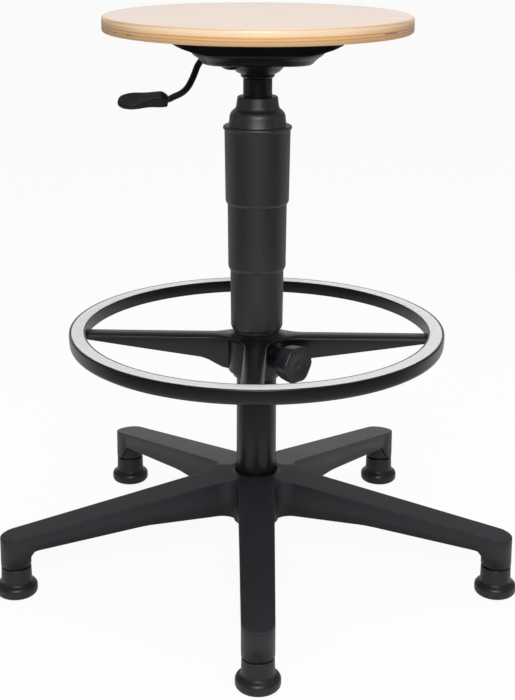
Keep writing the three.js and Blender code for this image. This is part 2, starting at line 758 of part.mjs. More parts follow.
function ringRim() {
  const outer = ringRadius;
  const inner = ringRadius - ringWidth;
  const foot = ringTop - ringHeight;
  const recess = ringTop - treadThickness - gap;
  return revolve([
    [inner, ringTop - ringInnerHeight],
    ...arc(outer - ringFootRound, foot + ringFootRound, ringFootRound, -90, 0, 3),
    ...arc(outer - ringTopRound, ringTop - ringTopRound, ringTopRound, 0, 90, 1),
    [outer - treadMargin, ringTop], [outer - treadMargin, recess],
    [inner + treadMargin, recess], [inner + treadMargin, ringTop],
    ...arc(inner + ringTopRound, ringTop - ringTopRound, ringTopRound, 90, 180, 1),
  ], ringSides);
}

function ringTread() {
  const aside = treadMargin + treadClearance;
  const inner = ringRadius - ringWidth + aside;
  return washer(inner, ringRadius - aside, ringTop - treadThickness, ringTop, ringSides);
}

function footRing() {
  const end = ringRadius - ringWidth * (1 - spokeBiteShare);
  const stations = [
    spokeFilletStart / 2,
    ...spokeFilletShares.map((share) => spokeFilletStart + share * spokeFillet * Math.SQRT1_2),
    spokeRootAt,
    ...spokeRunShares.map((share) => spokeRootAt + share * (end - spokeRootAt)),
  ];
  const spoke = loft(stations.map((at) => spokeRing(at, end)), false);
  const spokes = Array.from({ length: spokeCount }, (_, i) => turned(spoke, 360 * i / spokeCount));
  const hubBottom = spokeTop - hubDepth;
  const shoulder = spokeTop - spokeCrown;
  const hub = revolve([
    [0, hubBottom - hubFootHeight], [hubFootRadius, hubBottom - hubFootHeight],
    [hubFootRadius + hubFootStep, hubBottom - hubFootHeight / 2], [hubRadius, hubBottom],
    [hubRadius, shoulder - spokeEdge], [hubCollarRadius + spokeEdge, shoulder],
    [hubCollarRadius, shoulder + gap], [hubCollarRadius, collarTop], [0, collarTop],
  ], coverSides);
  const boss = clampSolid(rod(clampBossRadius, hubRadius / 2, clampBossReach));
  const low = hubBottom - hubFootHeight - overrun;
  const bore = rod(tubeRadius + linerWall + 2 * gap, low, collarTop + overrun, coverSides);
  const padHole = clampSolid(rod(clampPadRadius + gap, 0, clampBossReach + overrun, smallSides));
  const seat = clampBossReach - clampInsertLength - gap;
  const insertHole = clampSolid(rod(clampInsertRadius + gap, seat, clampBossReach + overrun, smallSides));
  return cut(joined([ringRim(), ...spokes, hub, boss]), [bore, padHole, insertHole]);
}

// Puts a solid made along +Z on the clamp axis, pointing out from the column
function clampSolid(body) {
  return turned(body.rotate([90, 0, 0]), clampAzimuth).translate([0, 0, spokeTop - clampDrop]);
}

function liner() {
  const inside = tubeRadius + gap;
  const outside = inside + linerWall;
  const bottom = spokeTop - hubDepth - hubFootHeight;
  const sleeve = revolve([
    [inside, bottom], [outside, bottom], [outside, collarTop + gap],
    [hubCollarRadius, collarTop + gap], [hubCollarRadius, linerTop], [inside, linerTop],
  ], coverSides);
  const half = linerSlot / 2;
  const slot = box(-half, half, 0, hubCollarRadius + overrun, bottom - overrun, linerTop + overrun);
  return sleeve.subtract(slot);
}

const padStart = tubeRadius + 3 * gap + linerWall;

function clampKnob() {
  const sides = knobLobes * knobSidesPerLobe;
  const rings = knobProfileShares.map(([out, along]) => Array.from({ length: sides }, (_, i) => {
    const a = turn * i / sides;
    const hollow = knobLobeDepth * (0.5 - 0.5 * Math.cos(knobLobes * a)) * Math.min(1, out * out);
    const r = out * knobRadius - hollow;
    return [r * Math.cos(a), r * Math.sin(a), knobStart + along * knobDepth];
  }));
  const face = knobStart + knobDepth;
  const dish = revolve([
    [0, face - knobDish], [knobDishRadius * knobDishShare, face - knobDish * knobDishShare],
    [knobDishRadius, face],
    [knobDishRadius + gap, face + overrun], [0, face + overrun],
  ], shaftSides);
  const screwHole = rod(clampScrewRadius + gap, knobStart - overrun, knobStart + knobBite + gap, smallSides);
  return clampSolid(cut(loft(rings, false), [dish, screwHole]));
}

// Five-star base: the outline in plan, cut to the sloping legs, hollow underneath with cross ribs
function starOutline() {
  const shape = new THREE.Shape();
  const lean = (legRootHalf - legEndRadius) / footCircle;
  const halfAngle = Math.PI / legCount;
  const across = Math.atan(lean);
  const cornerAt = legRootHalf / (Math.tan(halfAngle) + lean);
  const corner = cornerAt / Math.cos(halfAngle);
  const opening = halfAngle + across;
  const filletCentre = corner + legFillet / Math.sin(opening);
  const arcSteps = 5;
  const endSteps = 12;
  const points = [];
  for (let leg = 0; leg < legCount; leg++) {
    const heading = -Math.PI / 2 + leg * 2 * halfAngle;
    for (let i = 0; i <= endSteps; i++) {
      const a = heading - Math.PI / 2 + across + (Math.PI - 2 * across) * i / endSteps;
      points.push(new THREE.Vector2(
        footCircle * Math.cos(heading) + legEndRadius * Math.cos(a),
        footCircle * Math.sin(heading) + legEndRadius * Math.sin(a),
      ));
    }
    const bisector = heading + halfAngle;
    const spread = Math.PI / 2 - opening;
    for (let i = 0; i <= arcSteps; i++) {
      const a = bisector + Math.PI + spread - 2 * spread * i / arcSteps;
      points.push(new THREE.Vector2(
        filletCentre * Math.cos(bisector) + legFillet * Math.cos(a),
        filletCentre * Math.sin(bisector) + legFillet * Math.sin(a),
      ));
    }
  }
  shape.setFromPoints(points);
  return shape;
}

function legHalfAt(at) {
  return legRootHalf - (legRootHalf - legEndRadius) * at / footCircle;
}

const legSlope = (baseTop - legEndTop) / (footCircle - hubMouthRadius);
const legTopAt = (at) => baseTop - legSlope * Math.max(0, at - hubMouthRadius);

// Side view of one leg as [distance from the column, z], from the axis to the end
function legSide() {
  const end = footCircle + legEndRadius + overrun;
  return [
    [0, baseTop - legRootDepth], [legMidAt, legMidBottom], [footCircle, legEndBottom],
    [end, legEndBottom], [end, legTopAt(end)], [hubMouthRadius, baseTop], [0, baseTop],
  ];
}

// A six-faced block between two distances along a leg, for the hollows under it
function legHollow(from, to) {
  const low = bossBottom - overrun;
  const corners = [from, to].map((at) => {
    const half = legHalfAt(at) - legWall;
    const top = legTopAt(at) - legWall;
    return [[at, -half, low], [at, half, low], [at, half, top], [at, -half, top]];
  });
  return loft(corners, false);
}

function baseStar() {
  const plan = new THREE.ExtrudeGeometry(starOutline(), { depth: baseTop, bevelEnabled: false });
  const side = new THREE.Shape(legSide().map(([at, z]) => new THREE.Vector2(at, z)));
  const reach = footCircle + legEndRadius + overrun;
  const sector = Math.tan(Math.PI / legCount);
  const legs = [];
  for (let leg = 0; leg < legCount; leg++) {
    const slab = new THREE.ExtrudeGeometry(side, { depth: 2 * reach, bevelEnabled: false });
    slab.rotateX(Math.PI / 2).translate(0, reach, 0);
    const wedgeShape = new THREE.Shape([
      new THREE.Vector2(-overrun, 0), new THREE.Vector2(reach, -(reach + overrun) * sector),
      new THREE.Vector2(reach, (reach + overrun) * sector),
    ]);
    const wedge = new THREE.ExtrudeGeometry(wedgeShape, { depth: baseTop + overrun, bevelEnabled: false });
    legs.push(turned(solid(slab).intersect(solid(wedge)), -90 + 360 * leg / legCount));
  }
  const shell = solid(plan).intersect(joined(legs));
  const hollows = [];
  const bosses = [];
  const first = hubBossRadius + 2 * legWall;
  const last = footCircle - legEndRadius;
  const bay = (last - first) / legBays;
  const stemTop = bossBottom + glideStemRise + gap;
  const stemHole = rod(glideStemRadius + gap, bossBottom - overrun, stemTop, smallSides);
  for (let leg = 0; leg < legCount; leg++) {
    const heading = -90 + 360 * leg / legCount;
    for (let i = 0; i < legBays; i++) {
      const from = first + i * bay;
      hollows.push(turned(legHollow(from, from + bay - legRib), heading));
    }
    hollows.push(turned(moved(stemHole, footCircle, 0, 0), heading));
    const boss = revolve([
      [0, bossBottom], [legEndRadius - bossDraft - bossBreak, bossBottom],
      [legEndRadius - bossDraft, bossBottom + bossBreak],
      [legEndRadius - bossDraft, legEndBottom + legWall], [0, legEndBottom + legWall],
    ], shaftSides);
    bosses.push(turned(moved(boss, footCircle, 0, 0), heading));
  }
  const hub = revolve([
    [0, hubBossBottom], [hubBossRadius - legWall / 2, hubBossBottom], [hubBossRadius, hubBossBottom + legWall],
    [hubBossRadius, baseTop - legWall], [0, baseTop - legWall],
  ], coverSides);
  const seatTop = baseTop - hubMouthDepth;
  const bore = revolve([
    [0, hubBossBottom - overrun], [tubeRadius - hubTaper + gap, hubBossBottom - overrun],
    [tubeRadius - hubTaper + gap, hubBossBottom], [tubeRadius + gap, seatTop],
    [hubMouthRadius, seatTop], [hubMouthRadius, baseTop + overrun], [0, baseTop + overrun],
  ], coverSides);
  return cut(joined([shell, ...bosses, hub]), [bore, ...hollows]);
}

function glide() {
  const stemFoot = bossBottom - glideStemSink - gap;
  const stemHole = glideStemRadius + gap;
  return revolve([
    [0, 0],
    ...glidePadShares.map(([out, up]) => [out * glideRadius, up * glideTop]),
    [glideNeckRadius + glideNeckFoot, glideNeckShare * glideTop], [glideNeckRadius, glideTop],
    [glideSpigotRadius, glideTop], [glideSpigotRadius, bossBottom - gap], [stemHole, bossBottom - gap],
    [stemHole, stemFoot], [0, stemFoot],
  ], padSides);
}

// Height lever: a bent rod from above the release pin out under the seat to the handle
const leverLevel = pinTop + gap + leverRadius;
const handleLevel = seatUnder - leverHandleDrop;

// The bent rod as a tube of a given radius; the handle is bored with a slightly larger one
function leverTube(radius, past) {
  const fall = leverLevel - handleLevel;
  const reach = leverSocketAt - leverBendAt;
  const points = [
    [leverTipPast, leverLevel], [-leverPivotAt / 2, leverLevel], [-leverPivotAt, leverLevel],
    [-leverBendAt, leverLevel - gap],
    ...leverBendShares.map(([out, down]) => [-leverBendAt - out * reach, leverLevel - down * fall]),
    [-leverSocketAt, handleLevel], [-leverSocketAt - handleBite - past, handleLevel],
  ];
  const places = points.map(([x, z]) => new THREE.Vector3(x, 0, z));
  const path = new THREE.CatmullRomCurve3(places, false, 'centripetal');
  const section = new THREE.Shape();
  section.absarc(0, 0, radius, 0, turn, false);
  return solid(new THREE.ExtrudeGeometry(section, {
    extrudePath: path, steps: 24, curveSegments: 4, bevelEnabled: false,
  }));
}

// Two-ear bracket under the seat panel that the lever rocks in
function leverBracket() {
  const swing = bracketLength / 2 * Math.sin(THREE.MathUtils.degToRad(leverSwing));
  const floor = leverLevel - leverRadius - gap - swing;
  const foot = floor - bracketThickness;
  const x0 = -leverPivotAt - bracketLength / 2;
  const x1 = -leverPivotAt + bracketLength / 2;
  const block = box(x0, x1, -bracketHalf, bracketHalf, foot, seatUnder - gap);
  const channelHalf = leverRadius + 2 * gap;
  const channel = box(x0 - overrun, x1 + overrun, -channelHalf, channelHalf, floor, seatUnder + overrun);
  return block.subtract(channel);
}

// The handle: a boxy socket for the rod that spreads and thins into a paddle with a thumb dish
function leverHandle() {
  const length = leverHandleReach - leverSocketAt;
  const half = handleHeight / 2;
  const around = 12;
  const squared = (v) => Math.sign(v) * Math.abs(v) ** handleRoundShare;
  const rings = handleShares.map(([along, wide, top, bottom]) => Array.from({ length: around }, (_, i) => {
    const a = turn * (i + 0.5) / around;
    const level = (top + bottom) / 2 + (top - bottom) / 2 * squared(Math.sin(a));
    return [-along * length, wide * handleHalfWidth * squared(Math.cos(a)), level * half];
  }));
  const [dishAt, dishLong, dishWide, dishLevel] = handleDishShares;
  const dish = new THREE.SphereGeometry(1, smallSides, smallSides / 2);
  dish.scale(length * dishLong, handleHalfWidth * dishWide, handleDish);
  dish.translate(-length * dishAt, 0, half * dishLevel);
  const body = loft(rings, false).subtract(solid(dish)).rotate([handleRoll, 0, 0]);
  return moved(body, -leverSocketAt, 0, handleLevel - handleSag).subtract(leverTube(leverRadius + gap, gap));
}

// The whole stool, from the floor up
piece('base_star', baseStar(), 'basePlastic');
for (let leg = 0; leg < legCount; leg++) {
  const heading = -90 + 360 * leg / legCount;
  const stem = rod(glideStemRadius, bossBottom - glideStemSink, bossBottom + glideStemRise, smallSides);
  piece(`glide_${leg + 1}`, turned(moved(glide(), footCircle, 0, 0), heading), 'knobPlastic');
  piece(`glide_stem_${leg + 1}`, turned(moved(stem, footCircle, 0, 0), heading), 'zinc');
}
piece('outer_tube', outerTube(), 'blackSteel');
piece('guide_bush', guideBush(), 'bushPlastic');
const race = (bore, bottom) => washer(bore, raceRadius, bottom, bottom + raceThickness);
const clipWasherBottom = clipWasherTop - clipWasherThickness;
piece('bearing_race_lower', race(rodEndRadius + 2 * gap, lowerRaceBottom), 'brightSteel');
piece('bearing_ball_cage', ballCage(), 'brightSteel');
piece('bearing_race_upper', race(rodEndRadius + gap, upperRaceBottom), 'brightSteel');
piece('stop_buffer', washer(rodRadius + gap, bufferRadius, rodShoulder, rodShoulder + bufferHeight), 'rubber');
piece('piston_rod', pistonRod(), 'brightSteel');
const pistonTop = pistonBottom + pistonHeight;
piece('piston', washer(rodEndRadius + gap, pistonBore, pistonBottom, pistonTop), 'bushPlastic');
piece('rod_clip_washer', washer(rodEndRadius + gap, clipRadius, clipWasherBottom, clipWasherTop), 'zinc');
piece('rod_clip', rodClip(), 'brightSteel');
piece('lower_cover', lowerCover(), 'coverPlastic');
piece('middle_cover', middleCover(), 'coverPlastic');
piece('upper_cover', upperCover(), 'coverPlastic');
piece('pressure_tube', pressureTube(), 'blackSteel');
piece('rod_seal', washer(rodRadius + gap, pistonBore, sealBottom, sealBottom + sealLength), 'rubber');
piece('release_pin', releasePin(), 'brightSteel');
piece('spacer_sleeve', spacerSleeve(), 'coverPlastic');
piece('taper_socket', taperSocket(), 'blackSteel');
piece('seat_plate', seatPlate(), 'blackSteel');
piece('seat_panel', seatPanel(), 'beech');
fixings.forEach(([x, y], i) => {
  piece(`seat_insert_${i + 1}`, moved(seatInsert(), x, y, 0), 'zinc');
  piece(`seat_screw_${i + 1}`, moved(seatScrew(), x, y, 0), 'zinc');
});
piece('lever_bracket', leverBracket(), 'blackSteel');
piece('lever_rod', leverTube(leverRadius, 0), 'blackSteel');
piece('lever_handle', leverHandle(), 'leverPlastic');
piece('foot_ring', footRing(), 'ringPlastic');
piece('ring_tread', ringTread(), 'brightSteel');
piece('ring_liner', liner(), 'coverPlastic');

// Clamp pieces on their own axis
const padEnd = padStart + clampPadLength;
const insertStart = clampBossReach - clampInsertLength;
const screwEnd = knobStart + knobBite;
const insert = washer(clampScrewRadius + gap, clampInsertRadius, insertStart, clampBossReach, smallSides);
piece('clamp_pad', clampSolid(rod(clampPadRadius, padStart, padEnd, smallSides)), 'bushPlastic');
piece('clamp_insert', clampSolid(insert), 'zinc');
piece('clamp_screw', clampSolid(rod(clampScrewRadius, padEnd + gap, screwEnd, smallSides)), 'zinc');
piece('clamp_knob', clampKnob(), 'knobPlastic');

export default stool;
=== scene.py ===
import json
import math

import bmesh
import bpy
from mathutils import Matrix, Vector


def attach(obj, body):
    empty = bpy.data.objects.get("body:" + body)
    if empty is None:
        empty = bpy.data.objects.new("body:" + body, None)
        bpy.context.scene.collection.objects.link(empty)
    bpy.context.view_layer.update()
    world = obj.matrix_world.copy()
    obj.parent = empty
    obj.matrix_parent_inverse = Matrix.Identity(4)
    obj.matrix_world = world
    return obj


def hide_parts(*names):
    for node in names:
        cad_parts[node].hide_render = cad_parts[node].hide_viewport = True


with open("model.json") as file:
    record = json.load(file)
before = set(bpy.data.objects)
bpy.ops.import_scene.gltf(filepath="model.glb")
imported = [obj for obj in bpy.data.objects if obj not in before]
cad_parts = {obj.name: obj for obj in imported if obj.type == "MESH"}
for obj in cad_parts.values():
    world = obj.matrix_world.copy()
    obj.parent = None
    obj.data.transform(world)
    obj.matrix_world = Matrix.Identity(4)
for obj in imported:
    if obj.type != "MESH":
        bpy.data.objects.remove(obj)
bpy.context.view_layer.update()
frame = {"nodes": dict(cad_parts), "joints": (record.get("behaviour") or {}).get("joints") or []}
print("frame loaded:", len(frame["nodes"]), "nodes")

mm = 0.001
joints = {row["name"]: row for row in frame["joints"]}
axisY = joints["seat_swivel"]["pos_m"][1]  # the column stands here, the frame's origin is under the footprint


# Mesh tools. Every piece is worked in millimetres round the column axis and placed at the end

def section(rows, closed=False):  # rows of radius, height and, for a corner to round, its reach and segments
    bm = bmesh.new()
    verts = [bm.verts.new((row[0], 0, row[1])) for row in rows]
    following = verts[1:] + (verts[:1] if closed else [])
    for a, b in zip(verts, following):
        bm.edges.new((a, b))
    for vert, row in zip(verts, rows):
        if len(row) > 2:
            bmesh.ops.bevel(bm, geom=[vert], offset=row[2], offset_type="OFFSET", affect="VERTICES",
                            segments=row[3] if len(row) > 3 else 4, profile=0.5, material=-1)
    return bm


def lathe(rows, steps, closed=False):
    bm = section(rows, closed)
    bmesh.ops.spin(bm, geom=bm.verts[:] + bm.edges[:], cent=(0, 0, 0), axis=(0, 0, 1), dvec=(0, 0, 0),
                   angle=math.tau, steps=steps, use_merge=True)
    bmesh.ops.remove_doubles(bm, verts=bm.verts, dist=0.002)
    bmesh.ops.recalc_face_normals(bm, faces=bm.faces)
    return bm


def merged(*parts):  # several bmeshes as one
    whole = bmesh.new()
    for part in parts:
        mesh = bpy.data.meshes.new("part")
        part.to_mesh(mesh)
        part.free()
        whole.from_mesh(mesh)
        bpy.data.meshes.remove(mesh)
    return whole


def moved(bm, offset=(0, 0, 0), turns=()):  # turns are (degrees, axis) pairs, made before the offset
    for degrees, axis in turns:
        bmesh.ops.rotate(bm, cent=(0, 0, 0), matrix=Matrix.Rotation(math.radians(degrees), 3, axis), verts=bm.verts)
    bmesh.ops.translate(bm, vec=offset, verts=bm.verts)
    return bm


def copied(bm, count):  # the same shape again, evenly round the axis, joined along the borders
    bmesh.ops.spin(bm, geom=bm.verts[:] + bm.edges[:] + bm.faces[:], cent=(0, 0, 0), axis=(0, 0, 1), dvec=(0, 0, 0),
                   angle=math.tau * (count - 1) / count, steps=count - 1, use_duplicate=True)
    bmesh.ops.remove_doubles(bm, verts=bm.verts, dist=0.02)


def thicken(bm, thickness):  # a wall from a sheet
    bmesh.ops.solidify(bm, geom=bm.faces[:] + bm.edges[:] + bm.verts[:], thickness=thickness)


def faceUp(bm):  # the sheet's normals agree and point up
    bmesh.ops.recalc_face_normals(bm, faces=bm.faces)
    if sum(f.normal.z for f in bm.faces) < 0:
        bmesh.ops.reverse_faces(bm, faces=bm.faces)


def cornerEdges(bm, degrees):  # edges where two faces meet at more than this
    return [e for e in bm.edges if len(e.link_faces) == 2 and e.calc_face_angle() > math.radians(degrees)]


def roundEdges(bm, edges, offset, segments=3, clamp=False):
    bmesh.ops.bevel(bm, geom=edges, offset=offset, offset_type="OFFSET", affect="EDGES", segments=segments, profile=0.5,
                    material=-1, clamp_overlap=clamp)


def cutFaces(bm, faces, point, normal):  # a plane's cut through some of the faces
    edges = dict.fromkeys(e for f in faces for e in f.edges)
    verts = dict.fromkeys(v for f in faces for v in f.verts)
    bmesh.ops.bisect_plane(bm, geom=[*faces, *edges, *verts], plane_co=point, plane_no=normal)


def smooth(a, b, x):
    t = min(max((x - a) / (b - a), 0), 1)
    return t * t * (3 - 2 * t)


def mix(a, b, t):
    return a + (b - a) * t


# Loft: a circle of vertices is extruded along the stations, and each new ring is laid by ringPoint(station, angle)
def loft(stations, around, ringPoint, capStart=True, capEnd=True):
    bm = bmesh.new()
    bmesh.ops.create_circle(bm, cap_ends=False, radius=1, segments=around)
    ring = list(bm.verts)
    angles = [math.atan2(v.co.y, v.co.x) for v in ring]
    first, edges = ring, list(bm.edges)
    for v, a in zip(ring, angles):
        v.co = ringPoint(stations[0], a)
    for station in stations[1:]:
        made = bmesh.ops.extrude_edge_only(bm, edges=edges)
        fresh = [g for g in made["geom"] if isinstance(g, bmesh.types.BMVert)]
        edges = [g for g in made["geom"] if isinstance(g, bmesh.types.BMEdge)
                 and g.verts[0] in fresh and g.verts[1] in fresh]
        known = {}
        for v in fresh:
            near = next(e.other_vert(v) for e in v.link_edges if e.other_vert(v) not in fresh)
            known[near] = v
        ring = [known[v] for v in ring]
        for v, a in zip(ring, angles):
            v.co = ringPoint(station, a)
    if capStart:
        bmesh.ops.contextual_create(bm, geom=first)
    if capEnd:
        bmesh.ops.contextual_create(bm, geom=ring)
    bmesh.ops.recalc_face_normals(bm, faces=bm.faces)
    return bm


def addPiece(name, bm, material, body, slotName, nodes=(), crease=38, modifiers=()):
    bmesh.ops.scale(bm, vec=(mm, mm, mm), verts=bm.verts)
    bmesh.ops.translate(bm, vec=(0, axisY, 0), verts=bm.verts)
    mesh = bpy.data.meshes.new(name)
    bm.to_mesh(mesh)
    bm.free()
    mesh.shade_smooth()
    mesh.set_sharp_from_angle(angle=math.radians(crease))
    mesh.materials.append(material)
    piece = bpy.data.objects.new(name, mesh)
    bpy.context.scene.collection.objects.link(piece)
    for kind, values in modifiers:
        modifier = piece.modifiers.new(kind.title(), kind)
        for key, value in values.items():
            setattr(modifier, key, value)
    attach(piece, body)
    if nodes:
        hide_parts(*nodes)
    return piece


# Node tools

def addNode(tree, kind, values=(), **settings):
    node = tree.nodes.new(kind)
    for key, value in settings.items():
        setattr(node, key, value)
    for socket, value in dict(values).items():
        if isinstance(value, bpy.types.NodeSocket):
            tree.links.new(value, node.inputs[socket])
        else:
            node.inputs[socket].default_value = value
    return node


def newGroup(name, inputs, outputs):
    group = bpy.data.node_groups.new(name, "ShaderNodeTree")
    kinds = {"v": "NodeSocketVector", "f": "NodeSocketFloat", "c": "NodeSocketColor"}
    for label, kind, value in inputs:
        socket = group.interface.new_socket(name=label, in_out="INPUT", socket_type=kinds[kind])
        if value is not None:
            socket.default_value = value
    for label, kind in outputs:
        group.interface.new_socket(name=label, in_out="OUTPUT", socket_type=kinds[kind])
    return group, group.nodes.new("NodeGroupInput").outputs, group.nodes.new("NodeGroupOutput").inputs


def useGroup(tree, group, **values):
    return addNode(tree, "ShaderNodeGroup", values, node_tree=group)


def closeGroup(group, out, **results):
    for label, value in results.items():
        group.links.new(value, out[label])
    return group


def newMaterial(name, **constants):  # constants go straight on the Principled sockets
    material = bpy.data.materials.new(name)
    material.use_nodes = True
    tree = material.node_tree
    shader = tree.nodes["Principled BSDF"]
    for key, value in constants.items():
        shader.inputs[key.replace("_", " ")].default_value = value
    place = tree.nodes.new("ShaderNodeTexCoord").outputs["Object"]
    return material, tree, shader, place


# Each of the next four returns its node's result: Math, Map Range, Noise, and two colours mixed by a mask
def calc(tree, operation, *values, **settings):
    return addNode(tree, "ShaderNodeMath", dict(enumerate(values)), operation=operation, **settings).outputs[0]


def remap(tree, value, low, high, toLow=0.0, toHigh=1.0, **settings):
    values = {"Value": value, "From Min": low, "From Max": high, "To Min": toLow, "To Max": toHigh}
    return addNode(tree, "ShaderNodeMapRange", values, **settings).outputs[0]


def noise(tree, place, scale, detail, **more):
    return addNode(tree, "ShaderNodeTexNoise", {"Vector": place, "Scale": scale, "Detail": detail, **more}).outputs[0]


def blend(tree, factor, a, b):
    a, b = [c if isinstance(c, bpy.types.NodeSocket) else (*c, 1) for c in (a, b)]
    return addNode(tree, "ShaderNodeMix", {"Factor": factor, "A": a, "B": b}, data_type="RGBA").outputs["Result"]


def centred(tree, place, scale=(1, 1, 1)):  # Object coordinates round the column axis
    shift = addNode(tree, "ShaderNodeMapping", {"Vector": place, "Location": (0, -axisY, 0)})
    return addNode(tree, "ShaderNodeMapping", {"Vector": shift.outputs[0], "Scale": scale}).outputs[0]


def bump(tree, height, strength, distance):
    return addNode(tree, "ShaderNodeBump", {"Height": height, "Strength": strength, "Distance": distance}).outputs["Normal"]


def finishSkin(tree, shader, color, roughness, normal):
    for key, value in (("Base Color", color), ("Roughness", roughness), ("Normal", normal)):
        tree.links.new(value, shader.inputs[key])


# Fine eroded texture of a moulded or painted skin, with slow drifts in gloss
def makeSkinGroup():
    group, given, out = newGroup("mouldedSkin",
                                 [("Vector", "v", None), ("Grain", "f", 900.0), ("Rough", "f", 0.45), ("Drift", "f", 0.1)],
                                 [("Height", "f"), ("Roughness", "f"), ("Tone", "f")])
    grain = noise(group, given["Vector"], given["Grain"], 3.0, Roughness=0.6)
    slow = noise(group, given["Vector"], 14.0, 4.0, Roughness=0.55)
    swing = calc(group, "MULTIPLY_ADD", calc(group, "SUBTRACT", slow, 0.5), given["Drift"], given["Rough"])
    return closeGroup(group, out, Height=grain, Roughness=swing, Tone=slow)


# Edges lighter, as rubbed wear and painted highlight: the mask is where the rounded normal leaves the true one, broken
# up by noise
def makeWearAndSheenGroup():
    group, given, out = newGroup("edgeRubAndSheen", [("Vector", "v", None), ("Reach", "f", 0.001), ("Amount", "f", 0.5)], [("Mask", "f")])
    rounded = addNode(group, "ShaderNodeBevel", {"Radius": given["Reach"]}, samples=4).outputs[0]
    plain = group.nodes.new("ShaderNodeNewGeometry").outputs["Normal"]
    dot = addNode(group, "ShaderNodeVectorMath", {0: rounded, 1: plain}, operation="DOT_PRODUCT").outputs["Value"]
    bend = remap(group, dot, 0.995, 0.9)
    broken = remap(group, noise(group, given["Vector"], 160.0, 4.0), 0.4, 0.62)
    return closeGroup(group, out, Mask=calc(group, "MULTIPLY", calc(group, "MULTIPLY", bend, broken), given["Amount"]))


# A little dust on what faces up
def makeDustGroup():
    group, given, out = newGroup("settledDust",
                                 [("Vector", "v", None), ("Color", "c", (0, 0, 0, 1)), ("Dust", "c", (0.3, 0.29, 0.27, 1)),
                                  ("Amount", "f", 0.05)],
                                 [("Color", "c"), ("Mask", "f")])
    facing = group.nodes.new("ShaderNodeNewGeometry").outputs["Normal"]
    up = addNode(group, "ShaderNodeSeparateXYZ", {0: facing}).outputs["Z"]
    few = remap(group, noise(group, given["Vector"], 420.0, 5.0, Roughness=0.7), 0.45, 0.75)
    mask = calc(group, "MULTIPLY", calc(group, "MULTIPLY", few, remap(group, up, 0.55, 1.0)), given["Amount"])
    return closeGroup(group, out, Color=blend(group, mask, given["Color"], given["Dust"]), Mask=mask)


# Long fine lines along one axis: drawn tube, brushed band, sliding covers
def makeStreakGroup():
    group, given, out = newGroup("drawnStreaks",
                                 [("Vector", "v", None), ("Scale", "f", 1.0), ("Low", "f", 0.3), ("High", "f", 0.7)],
                                 [("Height", "f"), ("Mask", "f")])
    line = noise(group, given["Vector"], given["Scale"], 6.0, Roughness=0.65)
    return closeGroup(group, out, Height=line, Mask=remap(group, line, given["Low"], given["High"]))


skinGroup = makeSkinGroup()
wearAndSheenGroup = makeWearAndSheenGroup()
dustGroup = makeDustGroup()
streakGroup = makeStreakGroup()


# A moulded or painted dark skin: colour drifts, grain, edges lighter as rubbed wear and painted highlight, and dust
def darkSkin(name, color, rubbedAndSheen, rough, grain, relief, drift=0.1, rubAndSheen=0.5, reach=0.0012, dust=0.05, streaks=0.0, **constants):
    material, tree, shader, place = newMaterial(name, **constants)
    skin = useGroup(tree, skinGroup, Vector=place, Grain=grain, Rough=rough, Drift=drift).outputs
    tone = blend(tree, skin["Tone"], [c * 0.8 for c in color], [c * 1.2 for c in color])
    # edges lighter: rubbed wear and painted highlight
    rubAndSheenMask = useGroup(tree, wearAndSheenGroup, Vector=place, Reach=reach, Amount=rubAndSheen).outputs["Mask"]
    dusty = useGroup(tree, dustGroup, Vector=place, Color=blend(tree, rubAndSheenMask, tone, rubbedAndSheen), Amount=dust).outputs["Color"]
    rougher = skin["Roughness"]
    if streaks:
        lines = useGroup(tree, streakGroup, Vector=centred(tree, place, (1, 1, 0.04)), Scale=420.0, Low=0.56, High=0.7)
        rougher = calc(tree, "MULTIPLY_ADD", lines.outputs["Mask"], streaks, rougher)
    finishSkin(tree, shader, dusty, rougher, bump(tree, skin["Height"], relief, 0.0002))
    return material


coverSkin = darkSkin("satinCoverPlastic", (0.0046, 0.0051, 0.0048), (0.04, 0.04, 0.04), 0.48, 1400.0, 0.2,
                     streaks=0.06, dust=0.02, Specular_IOR_Level=0.9)
ringSkin = darkSkin("glossyRingPlastic", (0.0033, 0.0036, 0.0034), (0.04, 0.04, 0.04), 0.3, 1200.0, 0.1,
                    rubAndSheen=0.3, dust=0.02, Specular_IOR_Level=0.46)
baseSkin = darkSkin("grainedBasePlastic", (0.0115, 0.0128, 0.016), (0.08, 0.082, 0.086), 0.44, 1100.0, 0.4,
                    rubAndSheen=0.3, dust=0.05, Specular_IOR_Level=0.34)
padSkin = darkSkin("glidePlastic", (0.0085, 0.0096, 0.012), (0.06, 0.06, 0.065), 0.38, 900.0, 0.25,
                   rubAndSheen=0.4, Specular_IOR_Level=0.38)
knobSkin = darkSkin("knobPlastic", (0.013, 0.015, 0.018), (0.07, 0.07, 0.075), 0.4, 1000.0, 0.3,
                    rubAndSheen=0.4, Specular_IOR_Level=0.38)
leverSkin = darkSkin("leverPlastic", (0.0044, 0.0047, 0.0034), (0.03, 0.03, 0.024), 0.42, 1000.0, 0.25,
                     rubAndSheen=0.3, Specular_IOR_Level=0.34)
# Black paint, its colour set darker than the paint itself for the seat's shadow over the plate: painted shade
paintSkinWithPaintedShade = darkSkin("blackPaintedSteelWithPaintedShade", (0.0022, 0.0024, 0.0028), (0.08, 0.08, 0.08), 0.3, 260.0, 0.1,
                     rubAndSheen=0.15, reach=0.0008, Specular_IOR_Level=0.3, Coat_Weight=0.1, Coat_Roughness=0.15)
tubeSkin = darkSkin("blackPaintedTube", (0.0045, 0.005, 0.0057), (0.12, 0.12, 0.12), 0.3, 320.0, 0.1,
                    rubAndSheen=0.2, reach=0.0008, streaks=0.1, Specular_IOR_Level=0.38)
rubberSkin = darkSkin("blackRubber", (0.012, 0.012, 0.012), (0.03, 0.03, 0.03), 0.75, 700.0, 0.4, rubAndSheen=0.2,
                      Specular_IOR_Level=0.3)
print("dark skins ready")


